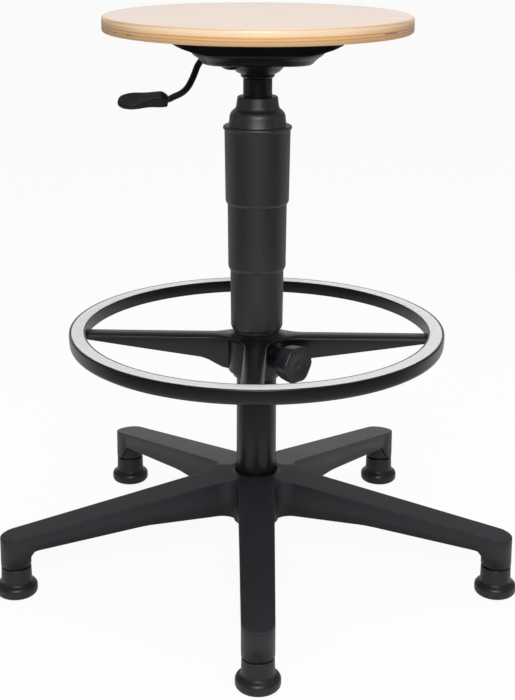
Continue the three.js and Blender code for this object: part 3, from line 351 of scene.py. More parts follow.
# Bright metals: fine lines and dull patches over a plain metallic base
def brightMetal(name, color, rough, lineScale, lineStretch, patch, metallic=1.0):
    material, tree, shader, place = newMaterial(name, Metallic=metallic)
    lines = useGroup(tree, streakGroup, Vector=centred(tree, place, lineStretch), Scale=lineScale, Low=0.3, High=0.75).outputs
    skin = useGroup(tree, skinGroup, Vector=place, Grain=500.0, Rough=rough, Drift=patch).outputs
    shade = blend(tree, skin["Tone"], [c * 0.86 for c in color], color)
    rougher = calc(tree, "MULTIPLY_ADD", lines["Mask"], 0.12, skin["Roughness"])
    finishSkin(tree, shader, shade, rougher, bump(tree, lines["Height"], 0.15, 0.0001))
    return material


zincMetal = brightMetal("zincPlatedSteel", (0.55, 0.56, 0.58), 0.38, 60.0, (1, 1, 1), 0.4)
steelMetal = brightMetal("turnedSteel", (0.62, 0.62, 0.62), 0.2, 500.0, (0.05, 0.05, 1), 0.15)
# The tread band is real; its near-white colour is brighter than the metal, as painted reflection of the bright backdrop
# at grazing angles
treadPaintedReflection = brightMetal("brushedTreadPaintedReflection", (0.97, 0.97, 0.96), 0.36, 500.0, (1, 1, 1), 0.1, metallic=0.25)


def paleMoulding():  # guide bush and piston: milky bearing plastic, greased in places
    material, tree, shader, place = newMaterial("paleBushPlastic", Subsurface_Weight=0.08, Subsurface_Scale=0.002)
    skin = useGroup(tree, skinGroup, Vector=place, Grain=700.0, Rough=0.5, Drift=0.25).outputs
    shade = blend(tree, remap(tree, skin["Tone"], 0.55, 0.7), (0.69, 0.67, 0.6), (0.5, 0.47, 0.38))
    finishSkin(tree, shader, shade, skin["Roughness"], bump(tree, skin["Height"], 0.2, 0.0002))
    return material


bushSkin = paleMoulding()

# Seat panel: beech veneer on both faces, plies on the rim
seat = {
    "radius": 186.0, "top": 700.0, "thickness": 19.0, "topRound": 3.6, "footRound": 3.0, "flat": 0.6, "steps": 180,
    "veneer": (0.80, 0.63, 0.51), "veneerDark": (0.66, 0.47, 0.36),
    # share of the depth from the top, colour: where the rim runs along the outer plies' grain, and across it; along the
    # grain the darker lower quarter is partly painted shade on the rim's lower rounding
    "rimAlongPliesAndShade": [(0.0, (0.66, 0.48, 0.34)), (0.08, (0.58, 0.40, 0.26)), (0.13, (0.74, 0.58, 0.42)), (0.38, (0.73, 0.53, 0.33)),
                 (0.46, (0.72, 0.45, 0.22)), (0.52, (0.44, 0.24, 0.10)), (0.56, (0.60, 0.36, 0.17)), (0.64, (0.66, 0.41, 0.20)),
                 (0.70, (0.42, 0.22, 0.09)), (0.75, (0.56, 0.33, 0.15)), (0.96, (0.52, 0.30, 0.13)), (1.0, (0.62, 0.40, 0.22))],
    "rimAcross": [(0.0, (0.78, 0.58, 0.40)), (0.08, (0.50, 0.29, 0.14)), (0.16, (0.70, 0.46, 0.25)), (0.28, (0.66, 0.41, 0.20)),
                  (0.33, (0.32, 0.16, 0.07)), (0.40, (0.62, 0.38, 0.18)), (0.52, (0.30, 0.15, 0.06)), (0.60, (0.58, 0.34, 0.16)),
                  (0.68, (0.26, 0.12, 0.05)), (0.76, (0.54, 0.31, 0.14)), (0.86, (0.30, 0.15, 0.06)), (1.0, (0.50, 0.30, 0.15))],
    # gaps in the inner plies: heading and half length in degrees, share of the depth; gapHalf is their half height as a share
    "gaps": [(-151, 1.3, 0.70), (-141, 1.7, 0.72), (-37, 4.2, 0.58), (33, 2.1, 0.62), (118, 1.5, 0.5)], "gapHalf": 0.028,
    # the rim: colours of its fibres and gaps, waver of its plies, and where it turns across the grain, in shares of the radius
    "fibre": (0.42, 0.23, 0.10), "gapColor": (0.15, 0.075, 0.04), "waver": 0.09, "sideFrom": 0.55, "sideTo": 0.95,
}


def beechMaterial():
    material, tree, shader, place = newMaterial("lacqueredBeech", Coat_Weight=0.35, Coat_Roughness=0.18, Specular_IOR_Level=0.5)
    parts = addNode(tree, "ShaderNodeSeparateXYZ", {0: centred(tree, place)}).outputs
    # long figure of the veneer, with short dark pores
    figure = noise(tree, centred(tree, place, (1, 9, 1)), 5.0, 6.0, Roughness=0.55, Distortion=0.4)
    pores = noise(tree, centred(tree, place, (1, 14, 1)), 90.0, 2.0)
    flecks = remap(tree, pores, 0.6, 0.72, toHigh=0.35)
    both = calc(tree, "ADD", remap(tree, figure, 0.3, 0.72, toHigh=0.45), flecks, use_clamp=True)
    face = blend(tree, both, seat["veneer"], seat["veneerDark"])
    # plies, with painted shade low on the rim: the share of the depth from the top, with a slow waver along the rim
    angle = calc(tree, "ARCTAN2", parts["Y"], parts["X"])
    unrolled = addNode(tree, "ShaderNodeCombineXYZ", {"X": angle, "Y": parts["Z"]}).outputs[0]
    even = calc(tree, "SUBTRACT", noise(tree, unrolled, 2.5, 3.0), 0.5)
    depth = remap(tree, parts["Z"], seat["top"] * mm, (seat["top"] - seat["thickness"]) * mm)
    wavy = calc(tree, "MULTIPLY_ADD", even, seat["waver"], depth)

    def plyRamp(stops):
        ramp = addNode(tree, "ShaderNodeValToRGB", {"Fac": wavy})
        points = ramp.color_ramp.elements
        while len(points) < len(stops):
            points.new(0.5)
        for point, (share, color) in zip(points, stops):
            point.position = share
            point.color = (*color, 1)
        return ramp.outputs["Color"]

    drift = calc(tree, "MULTIPLY_ADD", even, 0.06, calc(tree, "ABSOLUTE", parts["X"]))
    side = remap(tree, drift, seat["radius"] * seat["sideFrom"] * mm, seat["radius"] * seat["sideTo"] * mm, toHigh=0.85)
    rim = blend(tree, side, plyRamp(seat["rimAlongPliesAndShade"]), plyRamp(seat["rimAcross"]))
    # short fibres along the rim
    stretched = addNode(tree, "ShaderNodeMapping", {"Vector": unrolled, "Scale": (36, 900, 1)}).outputs[0]
    fibre = noise(tree, stretched, 1.0, 4.0)
    streaked = blend(tree, remap(tree, fibre, 0.56, 0.78, toHigh=0.32), rim, seat["fibre"])
    hollow = None
    for heading, reach, share in seat["gaps"]:
        aside = calc(tree, "COMPARE", angle, math.radians(heading), math.radians(reach))
        spot = calc(tree, "MULTIPLY", aside, calc(tree, "COMPARE", wavy, share, seat["gapHalf"]))
        hollow = spot if hollow is None else calc(tree, "MAXIMUM", hollow, spot)
    edge = blend(tree, hollow, streaked, seat["gapColor"])
    # faces by where they look
    facing = tree.nodes.new("ShaderNodeNewGeometry").outputs["Normal"]
    level = calc(tree, "ABSOLUTE", addNode(tree, "ShaderNodeSeparateXYZ", {0: facing}).outputs["Z"])
    wood = blend(tree, remap(tree, level, 0.86, 0.94), edge, face)
    skin = useGroup(tree, skinGroup, Vector=place, Grain=260.0, Rough=0.36, Drift=0.12).outputs
    relief = calc(tree, "MULTIPLY_ADD", both, -0.6, fibre)
    finishSkin(tree, shader, wood, skin["Roughness"], bump(tree, relief, 0.12, 0.0002))
    return material


beechWood = beechMaterial()
radius, top, foot, flat = seat["radius"], seat["top"], seat["top"] - seat["thickness"], seat["radius"] * seat["flat"]
seatRows = [(0, foot), (flat, foot), (radius, foot, seat["footRound"], 6), (radius, top, seat["topRound"], 8),
            (flat, top), (0, top)]
addPiece("seatPanel", lathe(seatRows, seat["steps"]), beechWood, "seat", "plywood", ["seat_panel"])
print("seat panel ready")

# Telescopic cover, column tube, sleeve and taper socket, all turned: rows as section takes them
column = {
    "steps": 96,
    "upperCover": [(17.9, 602.2), (24.4, 602.2, 1.7, 5), (26.4, 587.6, 3.0, 5), (33.5, 582.4, 4.5, 6), (35.1, 566.5, 0.9, 3),
                   (41.9, 566.4, 1.9, 5), (41.9, 562.0, 1.7, 5), (40.2, 561.4, 0.5, 2), (38.9, 473.2, 1.6, 3),
                   (36.7, 469.5, 0.8, 3), (36.65, 472.6), (37.3, 473.0), (38.7, 564.9), (33.5, 564.9), (32.3, 577.0),
                   (26.5, 577.0), (24.9, 585.6), (22.8, 597.9), (17.9, 597.9)],
    "middleCover": [(33.25, 386.9), (33.5, 386.9, 0.2, 2), (35.55, 390.6, 1.8, 4), (36.35, 473.3), (36.95, 473.3), (36.95, 475.8),
                    (34.75, 475.8), (34.75, 473.3), (33.95, 392.7), (33.25, 392.4)],
    "lowerCover": [(30.5, 311.6), (30.7, 311.6, 0.2, 2), (32.2, 314.2, 1.2, 4), (32.95, 392.7), (33.55, 392.7), (33.55, 395.2),
                   (14.6, 395.2), (14.6, 392.7), (31.35, 392.7)],
    "columnTube": [(5.0, 47.0), (22.0, 47.0, 1.2, 3), (23.6, 54.0), (25.0, 111.5), (25.0, 389.4, 0.6, 2), (23.0, 389.4),
                   (23.0, 111.5), (21.6, 50.5), (5.0, 50.5)],
    "columnSleeve": [(14.3, 580.2), (17.6, 580.2), (17.6, 593.6), (22.2, 593.6), (22.2, 597.6), (17.6, 597.6),
                     (17.6, 624.2, 0.5, 3), (14.3, 624.2)],
    "taperSocket": [(14.3, 624.5), (18.7, 624.5, 0.7, 3), (20.6, 626.4, 0.6, 3), (20.6, 647.3), (48.0, 647.3, 0.6, 2),
                    (48.0, 649.9, 0.6, 2), (20.6, 649.9), (20.6, 654.5), (13.5, 654.5)],
}
turnedPieces = [  # name, finish, body, slot, CAD node, crease angle
    ("upperCover", coverSkin, "seat", "cover_plastic", "upper_cover", 32),
    ("middleCover", coverSkin, "middle_cover", "cover_plastic", "middle_cover", 32),
    ("lowerCover", coverSkin, "base", "cover_plastic", "lower_cover", 32),
    ("columnTube", tubeSkin, "base", "black_steel", "outer_tube", 38),
    ("columnSleeve", tubeSkin, "seat", "black_steel", "spacer_sleeve", 38),
    ("taperSocket", paintSkinWithPaintedShade, "seat", "black_steel", "taper_socket", 38),
]
for name, material, body, slotName, node, crease in turnedPieces:
    addPiece(name, lathe(column[name], column["steps"], closed=True), material, body, slotName, [node], crease)
print("column ready")

legStep = 72  # degrees from leg to leg
legHeadings = [legStep * leg - 90 for leg in range(5)]  # the first leg points to the front

# Glides: neck, flare and pad in one turned outline, one under each leg
glide = {
    "circle": 309.0, "steps": 72,
    "rows": [(0, 0.0), (20.6, 0.0, 1.2, 3), (24.5, 2.3, 2.2, 4), (25.3, 5.4, 1.5, 3), (25.3, 12.7, 2.3, 6), (22.6, 14.9, 0.7, 3),
             (20.9, 15.3, 0.6, 3), (18.7, 17.0, 1.2, 4), (18.15, 36.5, 1.0, 4), (14.0, 36.5), (14.0, 38.2), (5.6, 38.2),
             (5.6, 16.2), (0, 16.2)],
}
for number, heading in enumerate(legHeadings, 1):
    shape = moved(lathe(glide["rows"], glide["steps"]), (glide["circle"], 0, 0))
    moved(shape, turns=[(heading, "Z")])
    addPiece("glide%d" % number, shape, padSkin, "base", "knob_plastic", ["glide_%d" % number])
print("glides ready")


# Arms round an axis, in plan. A row across an arm is how far along it is, its half width and its bulge: an arc
# through the row's two ends, with its middle that much further out
def fading(row, reach):  # beyond this row the bulge fades out
    return lambda x: row[2] * (1 - smooth(row[0], row[0] + reach, x))


def armRows(bm, rows, columns, height):
    bmesh.ops.create_grid(bm, x_segments=len(rows) - 1, y_segments=columns, size=1)
    for v in bm.verts:
        t = v.co.y
        along, wide, bulge = rows[round((v.co.x + 1) / 2 * (len(rows) - 1))]
        if bulge > 0.02:
            radius = (wide * wide + bulge * bulge) / (2 * bulge)
            reach = math.atan2(wide, radius - bulge)
            x = along + bulge - radius + radius * math.cos(reach * t)
            y = radius * math.sin(reach * t)
        else:
            x, y = along, wide * t
        v.co = (x, y, height(x, y, t))


# Base: five legs under one skin, hollow from below
base = {
    "top": 123.5, "mouth": 26.9, "rootHalf": 23.2, "endHalf": 18.6, "circle": 309.0, "fillet": 20.0,
    "endTop": 76.9, "midAt": 150.0, "midFoot": 74.5, "endFoot": 58.0, "bossFoot": 38.5, "edge": 2.2, "wall": 4.0,
    "endFrom": 24.0, "skirtFrom": 22.0, "skirtTo": 4.0, "fade": 60.0,
    "columns": 14, "borderSteps": 4, "filletSteps": 7, "legSteps": 18, "endSteps": 6, "hubSteps": 96, "bossSteps": 72,
    "hub": [(23.8, 54.0), (28.4, 54.0, 1.0, 3), (29.0, 58.0), (29.0, 121.0), (26.9, 122.0), (26.9, 111.5), (25.3, 111.5)],
    "boss": [(5.6, 38.5), (17.4, 38.5, 0.8, 3), (18.5, 40.2, 0.8, 3), (18.5, 62.0), (5.6, 62.0)],
}


def legRows():
    lean = (base["rootHalf"] - base["endHalf"]) / base["circle"]
    halfAngle = math.pi / 5
    across = math.atan(lean)
    opening = halfAngle + across
    corner = base["rootHalf"] / (math.tan(halfAngle) + lean) / math.cos(halfAngle)
    centre = corner + base["fillet"] / math.sin(opening)
    rows = []
    for i in range(base["borderSteps"] + 1):  # along the border between two legs
        r = mix(base["mouth"], centre - base["fillet"], i / base["borderSteps"])
        rows.append((r * math.cos(halfAngle), r * math.sin(halfAngle), r * (1 - math.cos(halfAngle))))
    bulgeAt = fading(rows[-1], base["fade"])
    for i in range(1, base["filletSteps"] + 1):  # round the fillet
        a = halfAngle + math.pi + (math.pi / 2 - opening) * i / base["filletSteps"]
        x = centre * math.cos(halfAngle) + base["fillet"] * math.cos(a)
        rows.append((x, centre * math.sin(halfAngle) + base["fillet"] * math.sin(a), bulgeAt(x)))
    start, end = rows[-1][0], base["circle"] - base["endFrom"]
    for i in range(1, base["legSteps"] + 1):  # along the leg
        x = mix(start, end, i / base["legSteps"])
        rows.append((x, base["rootHalf"] - lean * x, bulgeAt(x)))
    for i in range(1, base["endSteps"] + 1):  # the round end
        t = i / base["endSteps"]
        rows.append((mix(end, base["circle"] + base["endHalf"] * math.sin(across), t),
                     mix(base["rootHalf"] - lean * end, base["endHalf"] * math.cos(across), t),
                     base["endHalf"] * (1 - math.sin(across)) * t ** 1.6))
    return rows


def baseShape():
    slope = (base["top"] - base["endTop"]) / (base["circle"] - base["mouth"])
    bm = bmesh.new()
    armRows(bm, legRows(), base["columns"], lambda x, y, t: base["top"] - slope * max(0, x - base["mouth"]))
    copied(bm, 5)
    rim = [e for e in bm.edges if e.is_boundary and max(v.co.xy.length for v in e.verts) > base["mouth"] + 2]
    made = bmesh.ops.extrude_edge_only(bm, edges=rim)
    for v in [g for g in made["geom"] if isinstance(g, bmesh.types.BMVert)]:
        heading = math.radians(round(math.degrees(math.atan2(v.co.y, v.co.x)) / legStep) * legStep)
        along = v.co.x * math.cos(heading) + v.co.y * math.sin(heading)
        foot = mix(base["midFoot"], base["endFoot"], max(0, (along - base["midAt"]) / (base["circle"] - base["midAt"])))
        end = smooth(base["circle"] - base["skirtFrom"], base["circle"] - base["skirtTo"], along)
        v.co.z = mix(foot, base["bossFoot"], end)
    faceUp(bm)
    roundEdges(bm, cornerEdges(bm, 50), base["edge"], 4, clamp=True)
    return moved(bm, turns=[(legHeadings[0], "Z")])


def baseSockets():
    parts = [lathe(base["hub"], base["hubSteps"], closed=True)]
    for heading in legHeadings:
        boss = moved(lathe(base["boss"], base["bossSteps"], closed=True), (base["circle"], 0, 0))
        parts.append(moved(boss, turns=[(heading, "Z")]))
    return merged(*parts)


addPiece("baseStar", baseShape(), baseSkin, "base", "base_plastic", ["base_star"], crease=40,
         modifiers=[("SOLIDIFY", {"thickness": base["wall"] * mm, "offset": -1.0, "use_even_offset": False})])
addPiece("baseSockets", baseSockets(), baseSkin, "base", "base_plastic", crease=40)
print("base ready")

# Foot ring: rim, crowned spokes that run into the hub, webs under them, boss for the clamp
ring = {
    "inner": 213.0, "outer": 233.0, "top": 312.0, "foot": 292.0, "innerFoot": 296.0, "turn": -2.1, "steps": 220,
    "treadInner": 215.0, "treadOuter": 230.0, "treadFoot": 310.8, "recess": 1.3, "gapInner": 0.3, "gapOuter": 0.5,
    "crownTop": 303.2, "half": 14.0, "crown": 3.9, "flange": 3.2, "flare": 41.0, "fade": 45.0, "bite": 4.0, "edge": 0.9,
    "columns": 16, "borderSteps": 4, "flareSteps": 12, "spokeSteps": 18, "hubSteps": 96, "bossSteps": 64,
    "bore": 27.3, "hub": 35.5, "hubFoot": 256.0, "lipFoot": 249.5, "collar": 28.75, "collarTop": 307.3, "collarReach": 9.0,
    "bossAt": 279.5, "bossHeading": -48.0, "padHole": 6.6, "webHalf": 2.5, "webDrop": 2.4, "webEdge": 1.2,
    "boss": [(6.4, 30.0), (13.2, 30.0), (12.8, 50.0, 0.9, 3), (8.4, 50.0, 0.4, 2), (8.4, 36.8), (6.4, 36.8)],
    "liner": [(25.3, 249.5), (27.0, 249.5), (27.0, 307.7), (28.6, 307.7, 0.5, 2), (28.6, 311.3, 0.6, 3), (25.3, 311.3)],
    # the web's lower edge: distance from the axis, height
    "web": [(20, 256), (34, 256.4), (43, 258.6), (52, 263.4), (61, 268.6), (70, 271.6), (110, 277.2), (160, 284.4), (217, 292.8)],
}


def spokeRows():
    meet, diagonal = ring["half"] + ring["flare"], math.sqrt(0.5)
    near = meet - ring["flare"] * diagonal
    rows = []
    for i in range(ring["borderSteps"] + 1):  # along the border between two spokes
        r = mix(ring["collar"], near * math.sqrt(2), i / ring["borderSteps"])
        rows.append((r * diagonal, r * diagonal, r * (1 - diagonal)))
    bulgeAt = fading(rows[-1], ring["fade"])
    for i in range(1, ring["flareSteps"] + 1):  # round the flare
        a = math.radians(225 + 45 * i / ring["flareSteps"])
        x = meet + ring["flare"] * math.cos(a)
        rows.append((x, meet + ring["flare"] * math.sin(a), bulgeAt(x)))
    for i in range(1, ring["spokeSteps"] + 1):  # along the spoke, into the rim
        x = mix(meet, ring["inner"] + ring["bite"], i / ring["spokeSteps"])
        rows.append((x, ring["half"], bulgeAt(x)))
    return rows


def spokeShape():
    def height(x, y, t):  # the crown across a spoke, and the rise to the collar
        away = math.hypot(x, y) - ring["collar"]
        crowned = smooth(-2, ring["collarReach"], away)
        drop = ring["crown"] * (1 - math.sqrt(1 - (0.93 * abs(t)) ** 2)) * crowned
        rise = (ring["collarTop"] - ring["crownTop"]) * (1 - min(max(away, 0) / ring["collarReach"], 1)) ** 2
        return ring["crownTop"] - drop + rise

    bm = bmesh.new()
    armRows(bm, spokeRows(), ring["columns"], height)
    copied(bm, 4)
    faceUp(bm)
    thicken(bm, ring["flange"])
    outer = [e for e in cornerEdges(bm, 50) if min(v.co.xy.length for v in e.verts) > ring["collar"] + 3]
    roundEdges(bm, outer, ring["edge"])
    return bm


def webShape():  # one web in the XZ plane from hub to rim, its lower edge along the moulding's curve
    bm = bmesh.new()
    verts = [bm.verts.new((x, 0, z)) for x, z in ring["web"]]
    edges = [bm.edges.new(pair) for pair in zip(verts, verts[1:])]
    made = bmesh.ops.extrude_edge_only(bm, edges=edges)
    for v in [g for g in made["geom"] if isinstance(g, bmesh.types.BMVert)]:
        v.co.z = ring["crownTop"] - ring["webDrop"]
    bmesh.ops.recalc_face_normals(bm, faces=bm.faces)
    bmesh.ops.translate(bm, vec=(0, ring["webHalf"], 0), verts=bm.verts)
    if next(iter(bm.faces)).normal.y < 0:
        bmesh.ops.reverse_faces(bm, faces=bm.faces)
    thicken(bm, 2 * ring["webHalf"])
    roundEdges(bm, [e for e in cornerEdges(bm, 60) if max(v.co.z for v in e.verts) < ring["innerFoot"]], ring["webEdge"])
    return bm


# The hub has an opening right through its wall for the clamp pad
def hubShape():
    bore, hub, collar, crown = ring["bore"], ring["hub"], ring["collar"], ring["crownTop"]
    bm = lathe([(bore, ring["lipFoot"]), (29.6, ring["lipFoot"], 0.8, 3), (30.1, ring["hubFoot"] - 1.5, 0.8, 3),
                (hub, ring["hubFoot"], 1.8, 4), (hub + 0.6, crown - 5), (collar + 0.3, crown - 3),
                (collar, ring["collarTop"], 0.6, 3), (bore, ring["collarTop"])], ring["hubSteps"], closed=True)
    heading = math.radians(ring["bossHeading"])
    out, up, half = Vector((math.cos(heading), math.sin(heading), 0)), Vector((0, 0, 1)), ring["padHole"]
    aside, middle = up.cross(out), up * ring["bossAt"]

    def near(face, reach):
        centre = face.calc_center_median()
        return centre.dot(out) > 20 and abs(centre.dot(aside)) < reach

    for way in (aside, up):
        for off in (-half, half):
            cutFaces(bm, [f for f in bm.faces if near(f, 14)], middle + way * off, way)
    opening = [f for f in bm.faces if near(f, half) and abs(f.calc_center_median().z - ring["bossAt"]) < half]
    bmesh.ops.delete(bm, geom=opening, context="FACES")
    bmesh.ops.bridge_loops(bm, edges=[e for e in bm.edges if e.is_boundary])
    return bm


def ringShape():
    inner, outer, top, foot = ring["inner"], ring["outer"], ring["top"], ring["foot"]
    bed = top - ring["recess"]
    bedInner, bedOuter = ring["treadInner"] - ring["gapInner"], ring["treadOuter"] + ring["gapOuter"]
    rim = lathe([(bedInner, bed), (bedInner, top, 0.3, 2), (inner, top, 0.7, 3), (inner, ring["innerFoot"] + 0.2, 1.4, 4),
                 (outer - 1.2, foot - 0.6, 6.5, 10), (outer, foot + 12, 4, 6), (outer, top, 1.7, 6),
                 (bedOuter, top, 0.3, 2), (bedOuter, bed)], ring["steps"], closed=True)
    boss = lathe(ring["boss"], ring["bossSteps"], closed=True)
    moved(boss, (0, 0, ring["bossAt"]), [(90, "Y"), (ring["bossHeading"], "Z")])
    webs = [moved(webShape(), turns=[(90 * i + ring["turn"], "Z")]) for i in range(4)]
    return merged(rim, hubShape(), boss, moved(spokeShape(), turns=[(ring["turn"], "Z")]), *webs)


addPiece("footRing", ringShape(), ringSkin, "foot_ring", "ring_plastic", ["foot_ring"], crease=36)
treadRows = [(ring["treadInner"], ring["treadFoot"]), (ring["treadInner"], ring["top"], 0.35, 3),
             (ring["treadOuter"], ring["top"], 0.35, 3), (ring["treadOuter"], ring["treadFoot"])]
addPiece("ringTread", lathe(treadRows, ring["steps"], closed=True), treadPaintedReflection, "foot_ring", "bright_steel", ["ring_tread"])
addPiece("ringLiner", lathe(ring["liner"], ring["hubSteps"], closed=True), coverSkin, "ring_carriage", "bush_plastic",
         ["ring_liner"])
print("foot ring ready")

# Clamp knob: six shallow lobes, a dished face with a small point
knob = {
    "radius": 23.3, "start": 52.3, "depth": 24.0, "lobes": 6, "lobeDepth": 1.7, "level": 279.5, "azimuth": -48.0, "around": 120,
    # shares of the radius and of the depth
    "profile": [(0.45, 0.0), (0.74, 0.01), (0.88, 0.07), (0.93, 0.2), (0.965, 0.45), (1.0, 0.8), (0.995, 0.9), (0.965, 0.965),
                (0.91, 0.995), (0.85, 1.0), (0.62, 0.985), (0.5, 0.97), (0.36, 0.945), (0.2, 0.935), (0.08, 0.94), (0.03, 0.965),
                (0.004, 0.975)],
}


def knobPoint(station, angle):
    out, along = station
    hollow = knob["lobeDepth"] * (0.5 - 0.5 * math.cos(knob["lobes"] * angle)) * min(1, out ** 3)
    r = out * knob["radius"] - hollow
    return Vector((knob["start"] + along * knob["depth"], r * math.cos(angle), r * math.sin(angle)))


shape = moved(loft(knob["profile"], knob["around"], knobPoint), (0, 0, knob["level"]), [(knob["azimuth"], "Z")])
addPiece("clampKnob", shape, knobSkin, "clamp_knob", "knob_plastic", ["clamp_knob"])
print("knob ready")

# Seat plate: one sheet from the hole's cone over the pan's floor and wall to the flange and its turned-down lip.
# Each station is half width, height, how far the corner's centre is from the axis, share of the lip
plate = {
    "sheet": 2.45, "around": 160, "top": 680.7, "lipDeep": 20.0, "lipShallow": 6.5, "lipFrom": 50.0, "lipTo": 99.5,
    "lipEdge": 0.6, "slotHalf": 5.2, "slotFrom": -84.0, "slotTo": -62.0, "slotTop": 677.0,
    "dimpleAt": (-32.0, -35.0, 0.0), "dimpleSteps": 64,
    "dimple": [(0, 637.8), (4.0, 638.0), (7.5, 639.0), (10.2, 640.6), (12.4, 642.8), (14.4, 644.1), (17.0, 644.6),
               (17.0, 645.4), (0, 645.4)],
    "stations": [(20.7, 629.5, 0, 0), (22.6, 629.9, 0, 0), (25.4, 631.4, 0, 0), (28.0, 633.6, 0, 0), (31.0, 636.8, 0, 0),
                 (34.2, 640.2, 0, 0), (37.2, 642.7, 0, 0), (40.2, 644.1, 0, 0), (43.5, 644.5, 2, 0), (48.0, 644.5, 11, 0),
                 (53.0, 644.5, 22, 0), (57.5, 644.5, 30, 0), (61.0, 644.6, 34.5, 0), (63.2, 645.1, 36, 0), (65.2, 646.4, 36, 0),
                 (67.2, 648.6, 36, 0), (69.4, 650.9, 36, 0), (72.0, 653.0, 36, 0), (75.0, 654.9, 36, 0), (77.4, 656.9, 36, 0),
                 (79.2, 659.4, 36, 0), (80.6, 662.6, 36, 0), (81.7, 666.4, 36, 0), (82.6, 670.6, 36, 0), (83.4, 674.2, 36, 0),
                 (84.4, 676.6, 36.5, 0), (86.0, 677.9, 38, 0), (88.6, 678.2, 42, 0), (92.5, 678.2, 54, 0), (96.2, 678.2, 64, 0),
                 (98.0, 677.9, 66, 0), (99.1, 677.0, 66, 0), (99.5, 675.6, 66, 0), (99.5, 675.6, 66, 0.5),
                 (99.5, 675.6, 66, 0.93), (99.5, 675.6, 66, 1)],
}


def platePoint(station, angle):
    half, z, centre, share = station
    c, s = abs(math.cos(angle)), abs(math.sin(angle))
    r = half / max(c, s)
    if min(r * c, r * s) > centre:  # round the corner
        near = centre * (c + s)
        r = near + math.sqrt(max(near * near - 2 * centre * centre + (half - centre) ** 2, 0))
    along = max(0, min(1, (r * c - plate["lipFrom"]) / (plate["lipTo"] - plate["lipFrom"]))) ** 1.6
    low = plate["top"] - mix(plate["lipDeep"], plate["lipShallow"], along)
    return Vector((r * math.cos(angle), r * math.sin(angle), mix(z, low, share)))


def plateShape():
    bm = loft(plate["stations"], plate["around"], platePoint, capStart=False, capEnd=False)
    if sum(f.normal.z for f in bm.faces) > 0:
        bmesh.ops.reverse_faces(bm, faces=bm.faces)

    def inSlot(face):
        centre = face.calc_center_median()
        return plate["slotFrom"] < centre.x < plate["slotTo"] and abs(centre.y) < 14

    # the lever's slot: two cuts along the left wall, and what is between them is taken out
    for aside in (-plate["slotHalf"], plate["slotHalf"]):
        cutFaces(bm, [f for f in bm.faces if inSlot(f)], (0, aside, 0), (0, 1, 0))
    opening = [f for f in bm.faces if inSlot(f) and abs(f.calc_center_median().y) < plate["slotHalf"]
               and f.calc_center_median().z < plate["slotTop"]]
    bmesh.ops.delete(bm, geom=opening, context="FACES")
    thicken(bm, plate["sheet"])
    # the lip's lower edges are the only corners this far out and this low
    lip = [e for e in cornerEdges(bm, 60) if min(max(abs(v.co.x), abs(v.co.y)) for v in e.verts) > 95
           and max(v.co.z for v in e.verts) < 674]
    roundEdges(bm, lip, plate["lipEdge"])
    return merged(bm, moved(lathe(plate["dimple"], plate["dimpleSteps"]), plate["dimpleAt"]))


addPiece("seatPlate", plateShape(), paintSkinWithPaintedShade, "seat", "black_steel", ["seat_plate"], crease=50)
print("seat plate ready")

# Height lever: a bent round bar, thicker outside the pan, and its paddle handle
lever = {
    "radius": 3.15, "sleeve": 4.0, "sleeveFrom": -50.0, "sleeveTo": -60.0,
    "path": [(7, 665.95), (-22, 665.95), (-44, 665.95), (-51, 665.65), (-56.8, 661.8), (-62.6, 654.3), (-67.2, 646.1),
             (-72.5, 637.9), (-76.5, 627.6), (-81.2, 617.4), (-85.8, 610.5), (-92.2, 605.0), (-100.9, 600.9), (-109, 597.5),
             (-124, 597.5)],
    "around": 32, "pathSteps": 5,
}


def smoothPath(points, steps):  # a curve through the points, sampled evenly between them
    out = []
    for i in range(len(points) - 1):
        p = [Vector(points[max(0, min(len(points) - 1, i + k))]) for k in (-1, 0, 1, 2)]
        for s in range(steps):
            t = s / steps
            out.append(0.5 * (2 * p[1] + (p[2] - p[0]) * t + (2 * p[0] - 5 * p[1] + 4 * p[2] - p[3]) * t * t
                              + (3 * p[1] - p[0] - 3 * p[2] + p[3]) * t ** 3))
    return out + [Vector(points[-1])]


def barShape():
    way = smoothPath(lever["path"], lever["pathSteps"])
    stations = []
    for i, p in enumerate(way):
        ahead = (way[min(i + 1, len(way) - 1)] - way[max(i - 1, 0)]).normalized()
        stations.append((p, Vector((-ahead.y, ahead.x))))

    def point(station, angle):
        p, side = station
        radius = mix(lever["radius"], lever["sleeve"], 1 - smooth(lever["sleeveTo"], lever["sleeveFrom"], p.x))
        off = side * radius * math.sin(angle)
        return Vector((p.x + off.x, radius * math.cos(angle), p.y + off.y))

    return loft(stations, lever["around"], point)


addPiece("leverBar", barShape(), paintSkinWithPaintedShade, "lever", "black_steel", ["lever_rod"])

